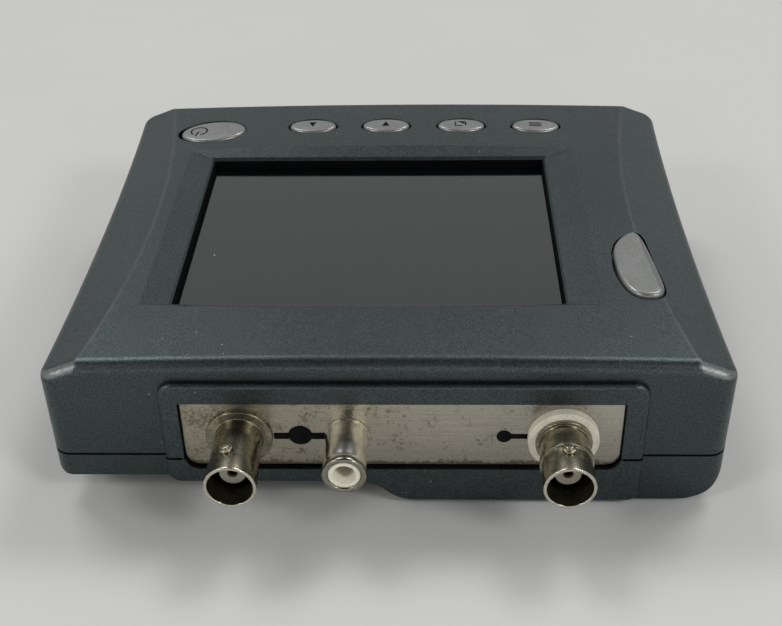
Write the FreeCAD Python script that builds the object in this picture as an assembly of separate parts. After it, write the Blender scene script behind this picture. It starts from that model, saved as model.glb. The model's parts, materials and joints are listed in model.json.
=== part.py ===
import FreeCAD, Part
import math
import os

# Hand-held video test monitor. Millimetres, +X right, +Y away from the connector end, +Z up.
# It is drawn about the middle of its case. save() then moves every piece along Y, so that the
# origin is under the middle of the whole outline, connectors included, on the floor.

# ---- driving dimensions ----
CASE_WIDTH = 129.2
CASE_LENGTH = 109.0
SIDE_WAIST = 1.2            # how far each long side draws in at its middle
CORNER_R = 3.5
HUMP_Z = 0.8                # underside of the battery hump
BASE_Z = 6.6                # underside of the flat left part
SEAM_Z = 11.9
SEAM_GAP = 0.3
SHOULDER_Z = 30.3           # outer top edge of the long sides
RIDGE_Z = 33.35             # crease between the side flanks and the top
TOP_Z = 34.0                # crown of the top
RIDGE_WAIST_X = 51.3
RIDGE_END_X = 57.6
RIDGE_R = 1.3               # soft crease along the ridge
TOP_EDGE_R = 2.4
WALL = 2.2
CAVITY_Z = 28.0             # ceiling of the hollow along the flanks
ROOF_Z = 31.2               # ceiling under the top
LENS_Z = 30.0               # glass face
LENS_T = 1.2
LENS_LIP = 1.5              # how far the lens reaches under the window's edge
TAPE_T = 0.3
LCD = (-42.45, 34.45, -35.3, 28.1)        # outline of the screen module: x, x, y, y

WINDOW = (-42.7, 34.7, -33.3, 26.6)       # screen window: x, x, y, y
POCKET_Z = 32.3
POCKET_TOP_Z = 33.6
POCKET_GROWTH = (6.7, 7.2, 2.3, 2.9)      # width of the sloping frame: left, right, near, far
WINDOW_BOW = 1.0                          # the near edge bows towards the connectors
WINDOW_BEVEL = 0.35

SURROUND = (-42.3, 48.3)                  # raised frame round the connectors, x range
SURROUND_PROUD = 1.4
SURROUND_TOP_Z = 29.6
SURROUND_BASE_Z = 5.9
MOUTH = (-38.7, 44.2, 9.4, 25.3)          # its opening: x, x, z, z
PLATE_RECESS = 1.0
PLATE_T = 0.8
CONNECTOR_Z = 16.9
BNC_LEFT_X = -27.8
BNC_RIGHT_X = 33.0
RCA_X = -7.45
BNC_REACH = 14.7
RCA_REACH = 11.6
BNC_R = 4.8
BNC_NECK_R = 4.6            # behind the bayonet's lugs
BNC_BORE_R = 4.15
BNC_BORE_DEPTH = 9.5
BNC_THREAD_R = 4.5
LUG_R = 1.0
LUG_REACH = 5.75
LUG_BEHIND_RIM = 5.0
WASHER_T = 1.5
RCA_R = 4.15

BUTTON_X = {"down_button": -20.3, "up_button": -2.4, "flip_button": 15.9, "menu_button": 34.0}
BUTTON_Y = 40.9
BUTTON_RX = 5.65
BUTTON_RY = 3.25
BUTTON_GAP = 0.4
BUTTON_PROUD = 0.45
BUTTON_EDGE_R = 0.45
BUTTON_HOLE_BEVEL = 0.3
FLANGE_LIP = 1.2            # how far a button's flange reaches under the shell
POWER_AT = (-45.0, 39.0)
POWER_RADII = (7.8, 5.0)
POWER_TURN = 10.0
POWER_STEM_SHIFT = 2.0
SIDE_AT = (49.6, -21.6)
SIDE_BUTTON_PROUD = 0.9
SIDE_FOLD_AT = (52.2, -20.7)
SIDE_FOLD_TURN = 5.7
STEM_R = 1.9
KEY_BOARD_Z = 24.0
KEY_TRAVEL = 0.8
SWITCH_HALF = 3.0
SWITCH_H = 3.5
PLUNGER_R = 1.6
PLUNGER_PLAY = 0.08
PLUNGER_Z = (KEY_BOARD_Z + 2.7, KEY_BOARD_Z + 4.9)

HUMP_START_X = 5.0                        # the underside steps up to the left of here
HUMP_CORNER_R = 8.5
DOOR = (8.0, 66.0, -39.0, 44.0)
DOOR_TOP_Z = 5.4
DOOR_GAP = 0.3
CELL_R = 7.25
CELL_PITCH = 2 * CELL_R + 0.2
CELL_LENGTH = 50.5
CELL_COUNT = 6
CELL_X = 7.6
CELL_Y = -34.65
CELL_Z = 10.7
WELL = (6.2, 59.0, -42.0, 46.2)
WELL_ROOF_Z = 18.2
WELL_WALL = 1.2

BOARD = (-50.0, 42.0, -46.3, 46.0)
BOARD_Z = 19.8
BOARD_T = 1.6
BOARD_POSTS = [(-46.0, -37.0), (-46.0, 30.0), (-1.5, -41.0), (-25.0, 31.0)]
KEY_SCREWS = [(-32.5, 37.0), (25.0, 37.0), (46.0, -37.2), (46.0, -5.4)]
CASE_SCREWS = [
    (-54.0, -44.0, BASE_Z),
    (-54.0, 44.0, BASE_Z),
    (54.5, -47.6, HUMP_Z),
    (-11.0, 48.0, BASE_Z),
]
SPEAKER_AT = (-30.0, 8.0)
DC_JACK_Y = 24.0
AV_JACK_Y = 2.0
JACK_Z = 15.6
DC_HOLE_R = 5.3
AV_HOLE_R = 3.4

FOOT_T = 0.8                # how far the feet stand out
FOOT_SUNK = 0.6
LEFT_FEET = [(-52.0, -33.0), (-52.0, 33.0)]
LEFT_FOOT_R = 3.5
HUMP_FEET_Y = (-47.6, 49.6)

V = FreeCAD.Vector
HALF_W = CASE_WIDTH / 2
HALF_L = CASE_LENGTH / 2
FACE_Y = -HALF_L - SURROUND_PROUD
PLATE_Y = FACE_Y + PLATE_RECESS
PLATE_BACK_Y = PLATE_Y + PLATE_T
BNC_TIP_Y = -HALF_L - BNC_REACH
RCA_TIP_Y = -HALF_L - RCA_REACH
ORIGIN_SHIFT = V(0, BNC_REACH / 2, 0)
CROWN_R = RIDGE_WAIST_X ** 2 / (2 * (TOP_Z - RIDGE_Z))
UP = V(0, 0, 1)
FORWARD = V(0, 1, 0)
RIGHT = V(1, 0, 0)


# ---- small helpers ----
def box(x0, x1, y0, y1, z0, z1):
    return Part.makeBox(x1 - x0, y1 - y0, z1 - z0, V(x0, y0, z0))


def post(x, y, z0, z1, radius):
    return Part.makeCylinder(radius, z1 - z0, V(x, y, z0), UP)


def barrel(x, y0, y1, radius):
    return Part.makeCylinder(radius, y1 - y0, V(x, y0, CONNECTOR_Z), FORWARD)


def side_bore(x, y, length, radius):
    return Part.makeCylinder(radius, length, V(x, y, JACK_Z), RIGHT)


def fuse(shapes):
    whole = shapes[0]
    for shape in shapes[1:]:
        whole = whole.fuse(shape)
    return whole.removeSplitter()


def cut(shape, tools):
    for tool in tools:
        shape = shape.cut(tool)
    return shape


def arc(a, b, c):
    return Part.Arc(V(*a), V(*b), V(*c)).toShape()


def line(a, b):
    return Part.makeLine(V(*a), V(*b))


def middle_of(edge):
    return edge.valueAt((edge.FirstParameter + edge.LastParameter) / 2)


def solid_from(edges, direction):
    face = Part.Face(Part.Wire(edges))
    return face.extrude(direction)


def is_upright(edge):
    a = edge.valueAt(edge.FirstParameter)
    b = edge.valueAt(edge.LastParameter)
    return abs(a.x - b.x) < 1e-4 and abs(a.y - b.y) < 1e-4 and abs(a.z - b.z) > 0.1


def rounded_box(x0, x1, y0, y1, z0, z1, radius):
    block = box(x0, x1, y0, y1, z0, z1)
    return block.makeFillet(radius, [e for e in block.Edges if is_upright(e)])


def save(name, shape):
    moved = shape.copy()
    moved.translate(ORIGIN_SHIFT)
    moved.exportStep("parts/" + name + ".step")


# ---- outer form of the case ----
def case_prism(inset, z0, z1):
    """The case outline, with its long sides drawn in at the middle."""
    x = HALF_W - inset
    y = HALF_L - inset
    waist = x - SIDE_WAIST
    edges = [
        line((-x, -y, z0), (x, -y, z0)),
        arc((x, -y, z0), (waist, 0, z0), (x, y, z0)),
        line((x, y, z0), (-x, y, z0)),
        arc((-x, y, z0), (-waist, 0, z0), (-x, -y, z0)),
    ]
    block = solid_from(edges, V(0, 0, z1 - z0))
    corners = [e for e in block.Edges if is_upright(e)]
    return block.makeFillet(max(CORNER_R - inset, 0.8), corners)


def flank_cutter(side):
    """Everything above the sloping flank on one side (+1 right, -1 left)."""
    over = 0.3
    reach = HALF_L + 3
    drop = RIDGE_Z - SHOULDER_Z
    edge_waist = HALF_W - SIDE_WAIST
    low = []
    high = []
    for edge_x, ridge_x in ((HALF_W, RIDGE_END_X), (edge_waist, RIDGE_WAIST_X)):
        run = edge_x - ridge_x
        low.append(side * (edge_x + over * run))
        high.append(side * (ridge_x - over * run))
    low_z = SHOULDER_Z - over * drop
    high_z = RIDGE_Z + over * drop
    outer = arc((low[0], -reach, low_z), (low[1], 0, low_z), (low[0], reach, low_z))
    inner = arc((high[0], -reach, high_z), (high[1], 2, high_z), (high[0], reach, high_z))
    return Part.makeRuledSurface(outer, inner).extrude(V(0, 0, 9))


def upper_form():
    """Outside of the upper shell before anything is cut in it."""
    form = case_prism(0, SEAM_Z + SEAM_GAP / 2, TOP_Z + 1)
    crown = Part.makeCylinder(CROWN_R, 2 * CASE_LENGTH, V(0, -CASE_LENGTH, TOP_Z - CROWN_R), FORWARD)
    form = form.common(crown)
    form = cut(form, [flank_cutter(1), flank_cutter(-1)])
    ridges = []
    for edge in form.Edges:
        middle = middle_of(edge)
        if abs(middle.z - RIDGE_Z) < 0.4 and abs(abs(middle.x) - RIDGE_WAIST_X) < 1 and abs(middle.y) < 9:
            ridges.append(edge)
    form = form.makeFillet(RIDGE_R, ridges)
    rim = []
    for edge in form.Edges:
        middle = middle_of(edge)
        at_end = abs(abs(middle.y) - HALF_L) < 0.01
        at_side = abs(middle.z - SHOULDER_Z) < 0.4 and abs(middle.x) > HALF_W - 3
        if at_end and middle.z > SHOULDER_Z - 1 or at_side:
            rim.append(edge)
    return form.makeFillet(TOP_EDGE_R, rim)


def surround_upper():
    """Raised frame round the connectors, upper part."""
    x0, x1 = SURROUND
    z0 = SEAM_Z + SEAM_GAP / 2
    slab = box(x0, x1, FACE_Y, -HALF_L + 4, z0, SURROUND_TOP_Z)
    corners = []
    rim = []
    for edge in slab.Edges:
        a = edge.valueAt(edge.FirstParameter)
        b = edge.valueAt(edge.LastParameter)
        if abs(a.x - b.x) < 1e-4 and abs(a.z - b.z) < 1e-4 and a.z > SURROUND_TOP_Z - 1:
            corners.append(edge)
    slab = slab.makeFillet(3.0, corners)
    for edge in slab.Edges:
        middle = middle_of(edge)
        if abs(middle.y - FACE_Y) < 1e-3 and middle.z > z0 + 0.1:
            rim.append(edge)
    return slab.makeFillet(0.9, rim)


def lower_profile(drop):
    """Section of the lower shell across the case; drop moves its outside inwards."""
    x = HALF_W - drop
    base = BASE_Z + drop
    hump = HUMP_Z + drop
    top = SEAM_Z - SEAM_GAP / 2
    r_left = 2.5
    r_right = HUMP_CORNER_R - drop
    step = HUMP_START_X
    k = math.sqrt(0.5)
    fall = base - hump
    return [
        line((x, 0, top), (x, 0, hump + r_right)),
        arc((x, 0, hump + r_right), (x - r_right * (1 - k), 0, hump + r_right * (1 - k)),
            (x - r_right, 0, hump)),
        line((x - r_right, 0, hump), (step, 0, hump)),
        arc((step, 0, hump), (step - 3.4, 0, hump + fall * 0.17), (step - 5.5, 0, hump + fall * 0.5)),
        arc((step - 5.5, 0, hump + fall * 0.5), (step - 7.6, 0, base - fall * 0.17),
            (step - 11, 0, base)),
        line((step - 11, 0, base), (-x + r_left, 0, base)),
        arc((-x + r_left, 0, base), (-x + r_left * (1 - k), 0, base + r_left * (1 - k)),
            (-x, 0, base + r_left)),
        line((-x, 0, base + r_left), (-x, 0, top)),
        line((-x, 0, top), (x, 0, top)),
    ]


def lower_form(drop):
    """Solid of the lower shell's outside, or of its hollow when drop is the wall."""
    band = solid_from(lower_profile(drop), V(0, 2 * HALF_L, 0))
    band.translate(V(0, -HALF_L, 0))
    body = case_prism(drop, 0, SEAM_Z - SEAM_GAP / 2)
    return body.common(band)


def surround_lower():
    """The same raised frame below the seam: it steps down with the hump."""
    x0, x1 = SURROUND
    top = SEAM_Z - SEAM_GAP / 2
    z0 = SURROUND_BASE_Z
    hump = HUMP_Z + 0.4
    step = HUMP_START_X
    r = 2.5
    k = math.sqrt(0.5)
    fall = z0 - hump
    y = FACE_Y
    edges = [
        line((x0, y, top), (x0, y, z0 + r)),
        arc((x0, y, z0 + r), (x0 + r * (1 - k), y, z0 + r * (1 - k)), (x0 + r, y, z0)),
        line((x0 + r, y, z0), (step - 11, y, z0)),
        arc((step - 11, y, z0), (step - 7.6, y, z0 - fall * 0.17), (step - 5.5, y, hump + fall * 0.5)),
        arc((step - 5.5, y, hump + fall * 0.5), (step - 3.4, y, hump + fall * 0.17), (step, y, hump)),
        line((step, y, hump), (x1 - r, y, hump)),
        arc((x1 - r, y, hump), (x1 - r * (1 - k), y, hump + r * (1 - k)), (x1, y, hump + r)),
        line((x1, y, hump + r), (x1, y, top)),
        line((x1, y, top), (x0, y, top)),
    ]
    slab = solid_from(edges, V(0, SURROUND_PROUD + 3, 0))
    rim = []
    for edge in slab.Edges:
        middle = middle_of(edge)
        if abs(middle.y - FACE_Y) < 1e-3 and middle.z < top - 0.1:
            rim.append(edge)
    return slab.makeFillet(0.7, rim)


# ---- openings in the case ----
def window_edges(growth, z):
    """Window outline with its bowed near edge, grown by (left, right, near, far)."""
    x0 = WINDOW[0] - growth[0]
    x1 = WINDOW[1] + growth[1]
    y0 = WINDOW[2] - growth[2]
    y1 = WINDOW[3] + growth[3]
    middle = (x0 + x1) / 2
    return [
        arc((x0, y0, z), (middle, y0 - WINDOW_BOW, z), (x1, y0, z)),
        line((x1, y0, z), (x1, y1, z)),
        line((x1, y1, z), (x0, y1, z)),
        line((x0, y1, z), (x0, y0, z)),
    ]


def screen_pocket():
    """Sloping frame round the screen, and the window through the shell."""
    rise = 1.0
    extra = 1 + rise / (POCKET_TOP_Z - POCKET_Z)
    wide = [extra * g for g in POCKET_GROWTH]
    low = Part.Wire(window_edges((0, 0, 0, 0), POCKET_Z))
    high = Part.Wire(window_edges(wide, POCKET_TOP_Z + rise))
    funnel = Part.makeLoft([low, high], True, True)
    shaft = solid_from(window_edges((0, 0, 0, 0), LENS_Z - 2), V(0, 0, POCKET_Z - LENS_Z + 2.01))
    bevel_low = Part.Wire(window_edges((0, 0, 0, 0), POCKET_Z - WINDOW_BEVEL))
    bevel_high = Part.Wire(window_edges((2 * WINDOW_BEVEL,) * 4, POCKET_Z + WINDOW_BEVEL))
    bevel = Part.makeLoft([bevel_low, bevel_high], True, True)
    return fuse([funnel, shaft, bevel])


def mouth_cut(inset, y0, y1):
    """Connector opening: small top corners, round bottom corners."""
    x0 = MOUTH[0] + inset
    x1 = MOUTH[1] - inset
    z0 = MOUTH[2] + inset
    z1 = MOUTH[3] - inset
    block = box(x0, x1, y0, y1, z0, z1)
    low = []
    for edge in block.Edges:
        a = edge.valueAt(edge.FirstParameter)
        b = edge.valueAt(edge.LastParameter)
        if abs(a.y - b.y) > 1 and abs(a.z - z0) < 1e-4 and abs(b.z - z0) < 1e-4:
            low.append(edge)
    return block.makeFillet(3.0 - inset, low)


# ---- buttons ----
def oval(x, y, rx, ry, turn, z0, z1):
    ellipse = Part.Ellipse(V(0, 0, 0), rx, ry).toShape()
    shape = Part.Face(Part.Wire([ellipse])).extrude(V(0, 0, z1 - z0))
    shape.rotate(V(0, 0, 0), UP, turn)
    shape.translate(V(x, y, z0))
    return shape


def oval_hole(x, y, rx, ry, turn):
    """Hole round an oval button, through the top, with a small bevel at its rim."""
    rx += BUTTON_GAP
    ry += BUTTON_GAP
    surface_z = TOP_Z - x * x / (2 * CROWN_R)
    rise = 0.5
    rings = []
    for grow, z in ((0, surface_z - BUTTON_HOLE_BEVEL), (BUTTON_HOLE_BEVEL + rise, surface_z + rise)):
        ring = Part.Wire([Part.Ellipse(V(0, 0, 0), rx + grow, ry + grow).toShape()])
        ring.rotate(V(0, 0, 0), UP, turn)
        ring.translate(V(x, y, z))
        rings.append(ring)
    bevel = Part.makeLoft(rings, True, True)
    return fuse([oval(x, y, rx, ry, turn, ROOF_Z - 1.0, TOP_Z + 2), bevel])


def half_moon(grow, z0, z1):
    """Prism of the side button: round towards the screen, nearly straight outside."""
    x, y = SIDE_AT
    around = [
        (0.9, 12.3), (-2.6, 9.2), (-4.3, 1.6), (-3.7, -6.4),
        (-0.6, -11.4), (3.4, -11.1), (4.6, -5.6), (3.5, 5.2),
    ]
    points = []
    for dx, dy in around:
        reach = math.hypot(dx, dy)
        scale = (reach + grow) / reach
        points.append(V(x + dx * scale, y + dy * scale, z0))
    curve = Part.BSplineCurve()
    curve.interpolate(points, PeriodicFlag=True)
    return Part.Face(Part.Wire([curve.toShape()])).extrude(V(0, 0, z1 - z0))


def folded_roof(z0):
    """Block whose top folds along the ridge line, as the case does beside the side button."""
    fold_x, fold_y = SIDE_FOLD_AT
    top = RIDGE_Z + SIDE_BUTTON_PROUD
    fall = (RIDGE_Z - SHOULDER_Z) / (HALF_W - SIDE_WAIST - RIDGE_WAIST_X)
    points = [(-12, z0), (-12, top), (0, top), (8, top - 8 * fall), (8, z0), (-12, z0)]
    face = Part.Face(Part.makePolygon([V(x, -25, z) for x, z in points]))
    block = face.extrude(V(0, 50, 0))
    block.rotate(V(0, 0, 0), UP, SIDE_FOLD_TURN)
    block.translate(V(fold_x, fold_y, 0))
    return block


def button(cap, flange, stem_at, ceiling_z, edge_r):
    """Cap with its rim rounded by edge_r, a flange under the shell and a stem to its switch."""
    rim = []
    for edge in cap.Edges:
        middle = middle_of(edge)
        beside = [f for f in cap.Faces if any(edge.isSame(e) for e in f.Edges)]
        walls = [f for f in beside if abs(f.normalAt(0, 0).z) < 0.1]
        if middle.z > ceiling_z + 1.0 and len(walls) == 1:
            rim.append(edge)
    if edge_r > 0:
        cap = cap.makeFillet(edge_r, rim)
    stem = post(stem_at[0], stem_at[1], PLUNGER_Z[1], ceiling_z - 0.5, STEM_R)
    return fuse([cap, flange, stem])


def make_buttons(form, shell):
    """Cuts the buttons' holes and saves the buttons, their plungers and their switches."""
    low = ROOF_Z - 1.0
    high = TOP_Z + 2
    raised = form.copy()
    raised.translate(V(0, 0, BUTTON_PROUD))
    stems = {}
    for name, x in BUTTON_X.items():
        cap = oval(x, BUTTON_Y, BUTTON_RX, BUTTON_RY, 0, low, high)
        flange = oval(x, BUTTON_Y, BUTTON_RX + FLANGE_LIP, BUTTON_RY + FLANGE_LIP, 0, low, ROOF_Z - 0.1)
        save(name, button(cap.common(raised), flange, (x, BUTTON_Y), ROOF_Z, BUTTON_EDGE_R))
        shell = shell.cut(oval_hole(x, BUTTON_Y, BUTTON_RX, BUTTON_RY, 0))
        stems[name] = (x, BUTTON_Y)
    x, y = POWER_AT
    rx, ry = POWER_RADII
    stems["power_button"] = (x + POWER_STEM_SHIFT, y)
    cap = oval(x, y, rx, ry, POWER_TURN, low, high)
    flange = oval(x, y, rx + 1.0, ry + 1.0, POWER_TURN, low, ROOF_Z - 0.1)
    boss_x, boss_y, _ = CASE_SCREWS[1]
    flange = flange.common(box(-52.6, 0, 0, 60, 0, 60)).cut(post(boss_x, boss_y, 0, 60, 3.9))
    save("power_button", button(cap.common(raised), flange, stems["power_button"], ROOF_Z, BUTTON_EDGE_R))
    shell = shell.cut(oval_hole(x, y, rx, ry, POWER_TURN))
    side_low = LENS_Z - 1.0
    cap = half_moon(0, side_low, high).common(folded_roof(side_low))
    flange = half_moon(1.1, side_low, LENS_Z - 0.1)
    save("side_button", button(cap, flange, SIDE_AT, LENS_Z, 0))
    shell = shell.cut(half_moon(BUTTON_GAP, side_low, high))
    stems["side_button"] = SIDE_AT
    switches = []
    for name, (x, y) in stems.items():
        save(name.replace("button", "plunger"), post(x, y, PLUNGER_Z[0], PLUNGER_Z[1], PLUNGER_R))
        switches.append(key_switch(x, y))
    save("key_switches", Part.makeCompound(switches))
    return shell


def key_switch(x, y):
    """Switch housing with a well for its plunger and four legs on the key board."""
    half = SWITCH_HALF
    housing = box(x - half, x + half, y - half, y + half, KEY_BOARD_Z, KEY_BOARD_Z + SWITCH_H)
    well_z = PLUNGER_Z[0] - KEY_TRAVEL - 0.3
    housing = housing.cut(post(x, y, well_z, KEY_BOARD_Z + SWITCH_H + 1, PLUNGER_R + PLUNGER_PLAY))
    for leg_x in (x - 2.2, x + 2.2):
        for leg_y in (y - 3.5, y + 3.5):
            leg = box(leg_x - 0.35, leg_x + 0.35, leg_y - 0.6, leg_y + 0.6, KEY_BOARD_Z, KEY_BOARD_Z + 0.4)
            housing = housing.fuse(leg)
    return housing.removeSplitter()


# ---- shells ----
def jack_holes():
    """Holes in the left side for the DC inlet and the AV jack; the seam runs through them."""
    side = -HALF_W - 1
    return [side_bore(side, DC_JACK_Y, 8, DC_HOLE_R), side_bore(side, AV_JACK_Y, 8, AV_HOLE_R)]


def make_upper_shell(form):
    inner = case_prism(WALL, 0, CAVITY_Z)
    roof = rounded_box(-49.0, 49.0, -50.5, 51.0, CAVITY_Z - 1, ROOF_Z, 3.0)
    wing = rounded_box(-53.6, -40.0, 30.0, 47.5, CAVITY_Z - 1, ROOF_Z, 2.0)
    pad = box(WINDOW[0] - 5, WINDOW[1] + 5, WINDOW[2] - 4, WINDOW[3] + 4, LENS_Z, ROOF_Z + 1)
    side_nook = rounded_box(42.5, 56.2, -39.5, -3.0, CAVITY_Z - 1, LENS_Z, 2.0)
    rabbet = case_prism(1.05, 0, SEAM_Z + 1.9)
    hollow = fuse([inner, fuse([roof, wing]).cut(pad), side_nook, rabbet])
    shell = fuse([form, surround_upper()])
    shell = shell.cut(hollow)
    shell = make_buttons(form, shell)
    mouth = mouth_cut(0, FACE_Y - 1, PLATE_BACK_Y + 0.1)
    ledge = mouth_cut(1.0, FACE_Y - 1, -HALF_L + WALL + 2)
    slot = box(MOUTH[0] + 0.2, MOUTH[1] - 0.2, PLATE_Y - 0.1, PLATE_BACK_Y + 0.1, 20, MOUTH[3] + 1.5)
    shell = cut(shell, [screen_pocket(), mouth, ledge, slot])
    bosses = []
    for x, y, _ in CASE_SCREWS:
        bosses.append(post(x, y, SEAM_Z + SEAM_GAP / 2, ROOF_Z + 0.3, 3.4))
    for x, y in KEY_SCREWS:
        bosses.append(post(x, y, KEY_BOARD_Z + 0.02, ROOF_Z + 0.3, 1.9))
    shell = fuse([shell] + bosses)
    drills = []
    for x, y, _ in CASE_SCREWS:
        drills.append(post(x, y, SEAM_Z, 22.5, 1.35))
    for x, y in KEY_SCREWS:
        drills.append(post(x, y, KEY_BOARD_Z - 1, 29.0, 0.95))
    shell = cut(shell, drills)
    shell = cut(shell, jack_holes())
    save("upper_shell", shell)
    return shell


def battery_well():
    """Walls and roof round the cells, open below."""
    x0, x1, y0, y1 = WELL
    t = WELL_WALL
    outer = box(x0 - t, x1 + t, y0 - t, y1 + t, HUMP_Z + 1.5, WELL_ROOF_Z + t)
    inner = box(x0, x1, y0, y1, 0, WELL_ROOF_Z)
    walls = outer.cut(inner)
    for y in (CELL_Y, CELL_Y + (CELL_COUNT - 1) * CELL_PITCH):
        walls = walls.cut(box(x0 - 2 * t, x0 + 1, y - 1.7, y + 1.7, 12.8, 13.6))
    return walls


def door_space(gap):
    x0, x1, y0, y1 = DOOR
    return box(x0 - gap, x1, y0 - gap, y1 + gap, -1, DOOR_TOP_Z + gap)


def door_tongues(gap, travel):
    """Rails along the door's long edges, and with a gap and a travel the room they need."""
    x0, x1, y0, y1 = DOOR
    lip = HUMP_Z + 1.1
    rails = []
    for near, far in ((y0 - 1.2, y0 + 0.5), (y1 - 0.5, y1 + 1.2)):
        rail = box(x0 + 4 - gap, 50 + travel + gap, near - gap, far + gap, lip - gap, lip + 0.9 + gap)
        rails.append(rail)
    return rails


def make_lower_shell():
    shell = fuse([lower_form(0), surround_lower()])
    shell = shell.cut(lower_form(2.0))
    z = SEAM_Z - SEAM_GAP / 2
    tongue = case_prism(1.2, z - 1.5, z + 1.6).cut(case_prism(2.0, z - 3, z + 3))
    tongue = tongue.cut(box(MOUTH[0] - 2, MOUTH[1] + 2, -HALF_L - 1, -40, z - 3, z + 3))
    well = battery_well().common(case_prism(1.0, 0, 25))
    shell = fuse([shell, well])
    trim = [box(WELL[0], WELL[1], WELL[2], WELL[3], HUMP_Z + 2.0, WELL_ROOF_Z)]
    trim.append(door_space(DOOR_GAP))
    trim += door_tongues(0.2, 8.5)
    shell = cut(shell, trim)
    posts = []
    drills = []
    for x, y, floor in CASE_SCREWS:
        posts.append(post(x, y, floor + 1, SEAM_Z - SEAM_GAP / 2, 4.2).common(case_prism(0.5, 0, 30)))
        drills.append(post(x, y, floor - 1, 9.3, 2.8))
        drills.append(post(x, y, floor, 16, 1.6))
    for x, y in BOARD_POSTS:
        posts.append(post(x, y, BASE_Z + 1, BOARD_Z - 0.02, 2.6))
        drills.append(post(x, y, BASE_Z + 4, BOARD_Z + 1, 1.05))
    for x, y in ((15.0, -36.0), (38.0, -36.0), (15.0, 40.0), (38.0, 40.0)):
        posts.append(post(x, y, WELL_ROOF_Z + 0.5, BOARD_Z - 0.02, 2.6))
    sx, sy = SPEAKER_AT
    collar = post(sx, sy, BASE_Z + 1, BASE_Z + 4.4, 16.0).cut(post(sx, sy, 0, 30, 14.4))
    posts.append(collar)
    for x, y in LEFT_FEET:
        posts.append(post(x, y, FOOT_T, BASE_Z + 1, 5.0))
    shell = fuse([shell, tongue] + posts)
    for i in range(-3, 4):
        half = 11.0 - abs(i) * 1.6
        slot_y = sy + i * 3
        drills.append(rounded_box(sx - half, sx + half, slot_y - 0.6, slot_y + 0.6, 0, BASE_Z + 3, 0.55))
    drills.append(mouth_cut(0, FACE_Y - 1, PLATE_BACK_Y + 0.1))
    drills.append(mouth_cut(1.0, FACE_Y - 1, -HALF_L + WALL + 2))
    for x, y in LEFT_FEET:
        drills.append(post(x, y, -1, FOOT_T + FOOT_SUNK, LEFT_FOOT_R + 0.1))
    for y in HUMP_FEET_Y:
        drills.append(foot_bar(y, -1, FOOT_T + FOOT_SUNK, 0.05))
    shell = cut(shell, drills + jack_holes())
    save("lower_shell", shell)
    return shell


def make_battery_door():
    """Sliding cover: a piece of the hump with rails on its long edges and grip grooves."""
    skin = lower_form(0).cut(lower_form(2.0))
    door = skin.common(door_space(0)).cut(box(-100, 100, -100, 100, DOOR_TOP_Z, 100))
    door = fuse([door] + door_tongues(0, 0))
    grooves = []
    for i in range(5):
        x = 14.0 + i * 2.4
        grooves.append(rounded_box(x, x + 1.0, -8, 13, HUMP_Z - 1, HUMP_Z + 0.5, 0.45))
    save("battery_door", cut(door, grooves))


# ---- feet ----
def foot_bar(y, z0, z1, grow):
    return rounded_box(24 - grow, 44 + grow, y - 2.2 - grow, y + 2.2 + grow, z0, z1, 2.1 + grow)


def make_feet():
    feet = []
    for y in HUMP_FEET_Y:
        feet.append(foot_bar(y, 0, FOOT_T + FOOT_SUNK, 0))
    for x, y in LEFT_FEET:
        feet.append(post(x, y, 0, FOOT_T + FOOT_SUNK, LEFT_FOOT_R))
    save("rubber_feet", Part.makeCompound(feet))


# ---- screen ----
def module_box(inset, z0, z1, near=0.0):
    """Block inside the screen module's outline; near insets its near edge further."""
    x0, x1, y0, y1 = LCD
    return box(x0 + inset, x1 - inset, y0 + inset + near, y1 - inset, z0, z1)


def make_screen():
    """Lens, the tape that holds it, and the screen module under it: frame, panel, light, ribbon."""
    near = WINDOW[2] - LENS_LIP - WINDOW_BOW
    lens_x = (WINDOW[0] - LENS_LIP, WINDOW[1] + LENS_LIP)
    lens = rounded_box(lens_x[0], lens_x[1], near, WINDOW[3] + LENS_LIP, LENS_Z - LENS_T, LENS_Z - 0.02, 1.0)
    save("screen_lens", lens)
    top = LENS_Z - LENS_T - TAPE_T
    x0, x1, y0, y1 = LCD
    view = box(x0 + 3.4, x1 - 3.4, y0 + 5.0, y1 - 5.0, top - 1, top + 1)
    save("lens_tape", module_box(0.5, top, top + TAPE_T, 0.5).cut(view))
    ribbon_x = (-15, 7)
    slit = box(ribbon_x[0] - 1, ribbon_x[1] + 1, y0 - 1, y0 + 2, top - 2.5, top - 1.9)
    tray = module_box(0, top - 4.2, top)
    save("lcd_frame", cut(tray, [module_box(0.4, top - 3.8, top - 0.3), view, slit]))
    save("lcd_panel", module_box(0.6, top - 1.7, top - 0.35, 1.0))
    groove = box(ribbon_x[0] - 2, ribbon_x[1] + 2, y0 - 1, y0 + 3.0, top - 2.6, top)
    save("backlight", module_box(0.6, top - 3.75, top - 1.75).cut(groove))
    high = top - 2.1
    low = BOARD_Z + BOARD_T + 0.8
    ribbon = [
        box(ribbon_x[0], ribbon_x[1], y0 - 2.6, y0 + 1.5, high - 0.2, high),
        box(ribbon_x[0], ribbon_x[1], y0 - 2.8, y0 - 2.6, low + 0.2, high),
        box(ribbon_x[0], ribbon_x[1], y0 - 2.8, y0 + 3.0, low, low + 0.2),
    ]
    save("lcd_ribbon", fuse(ribbon))


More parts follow.
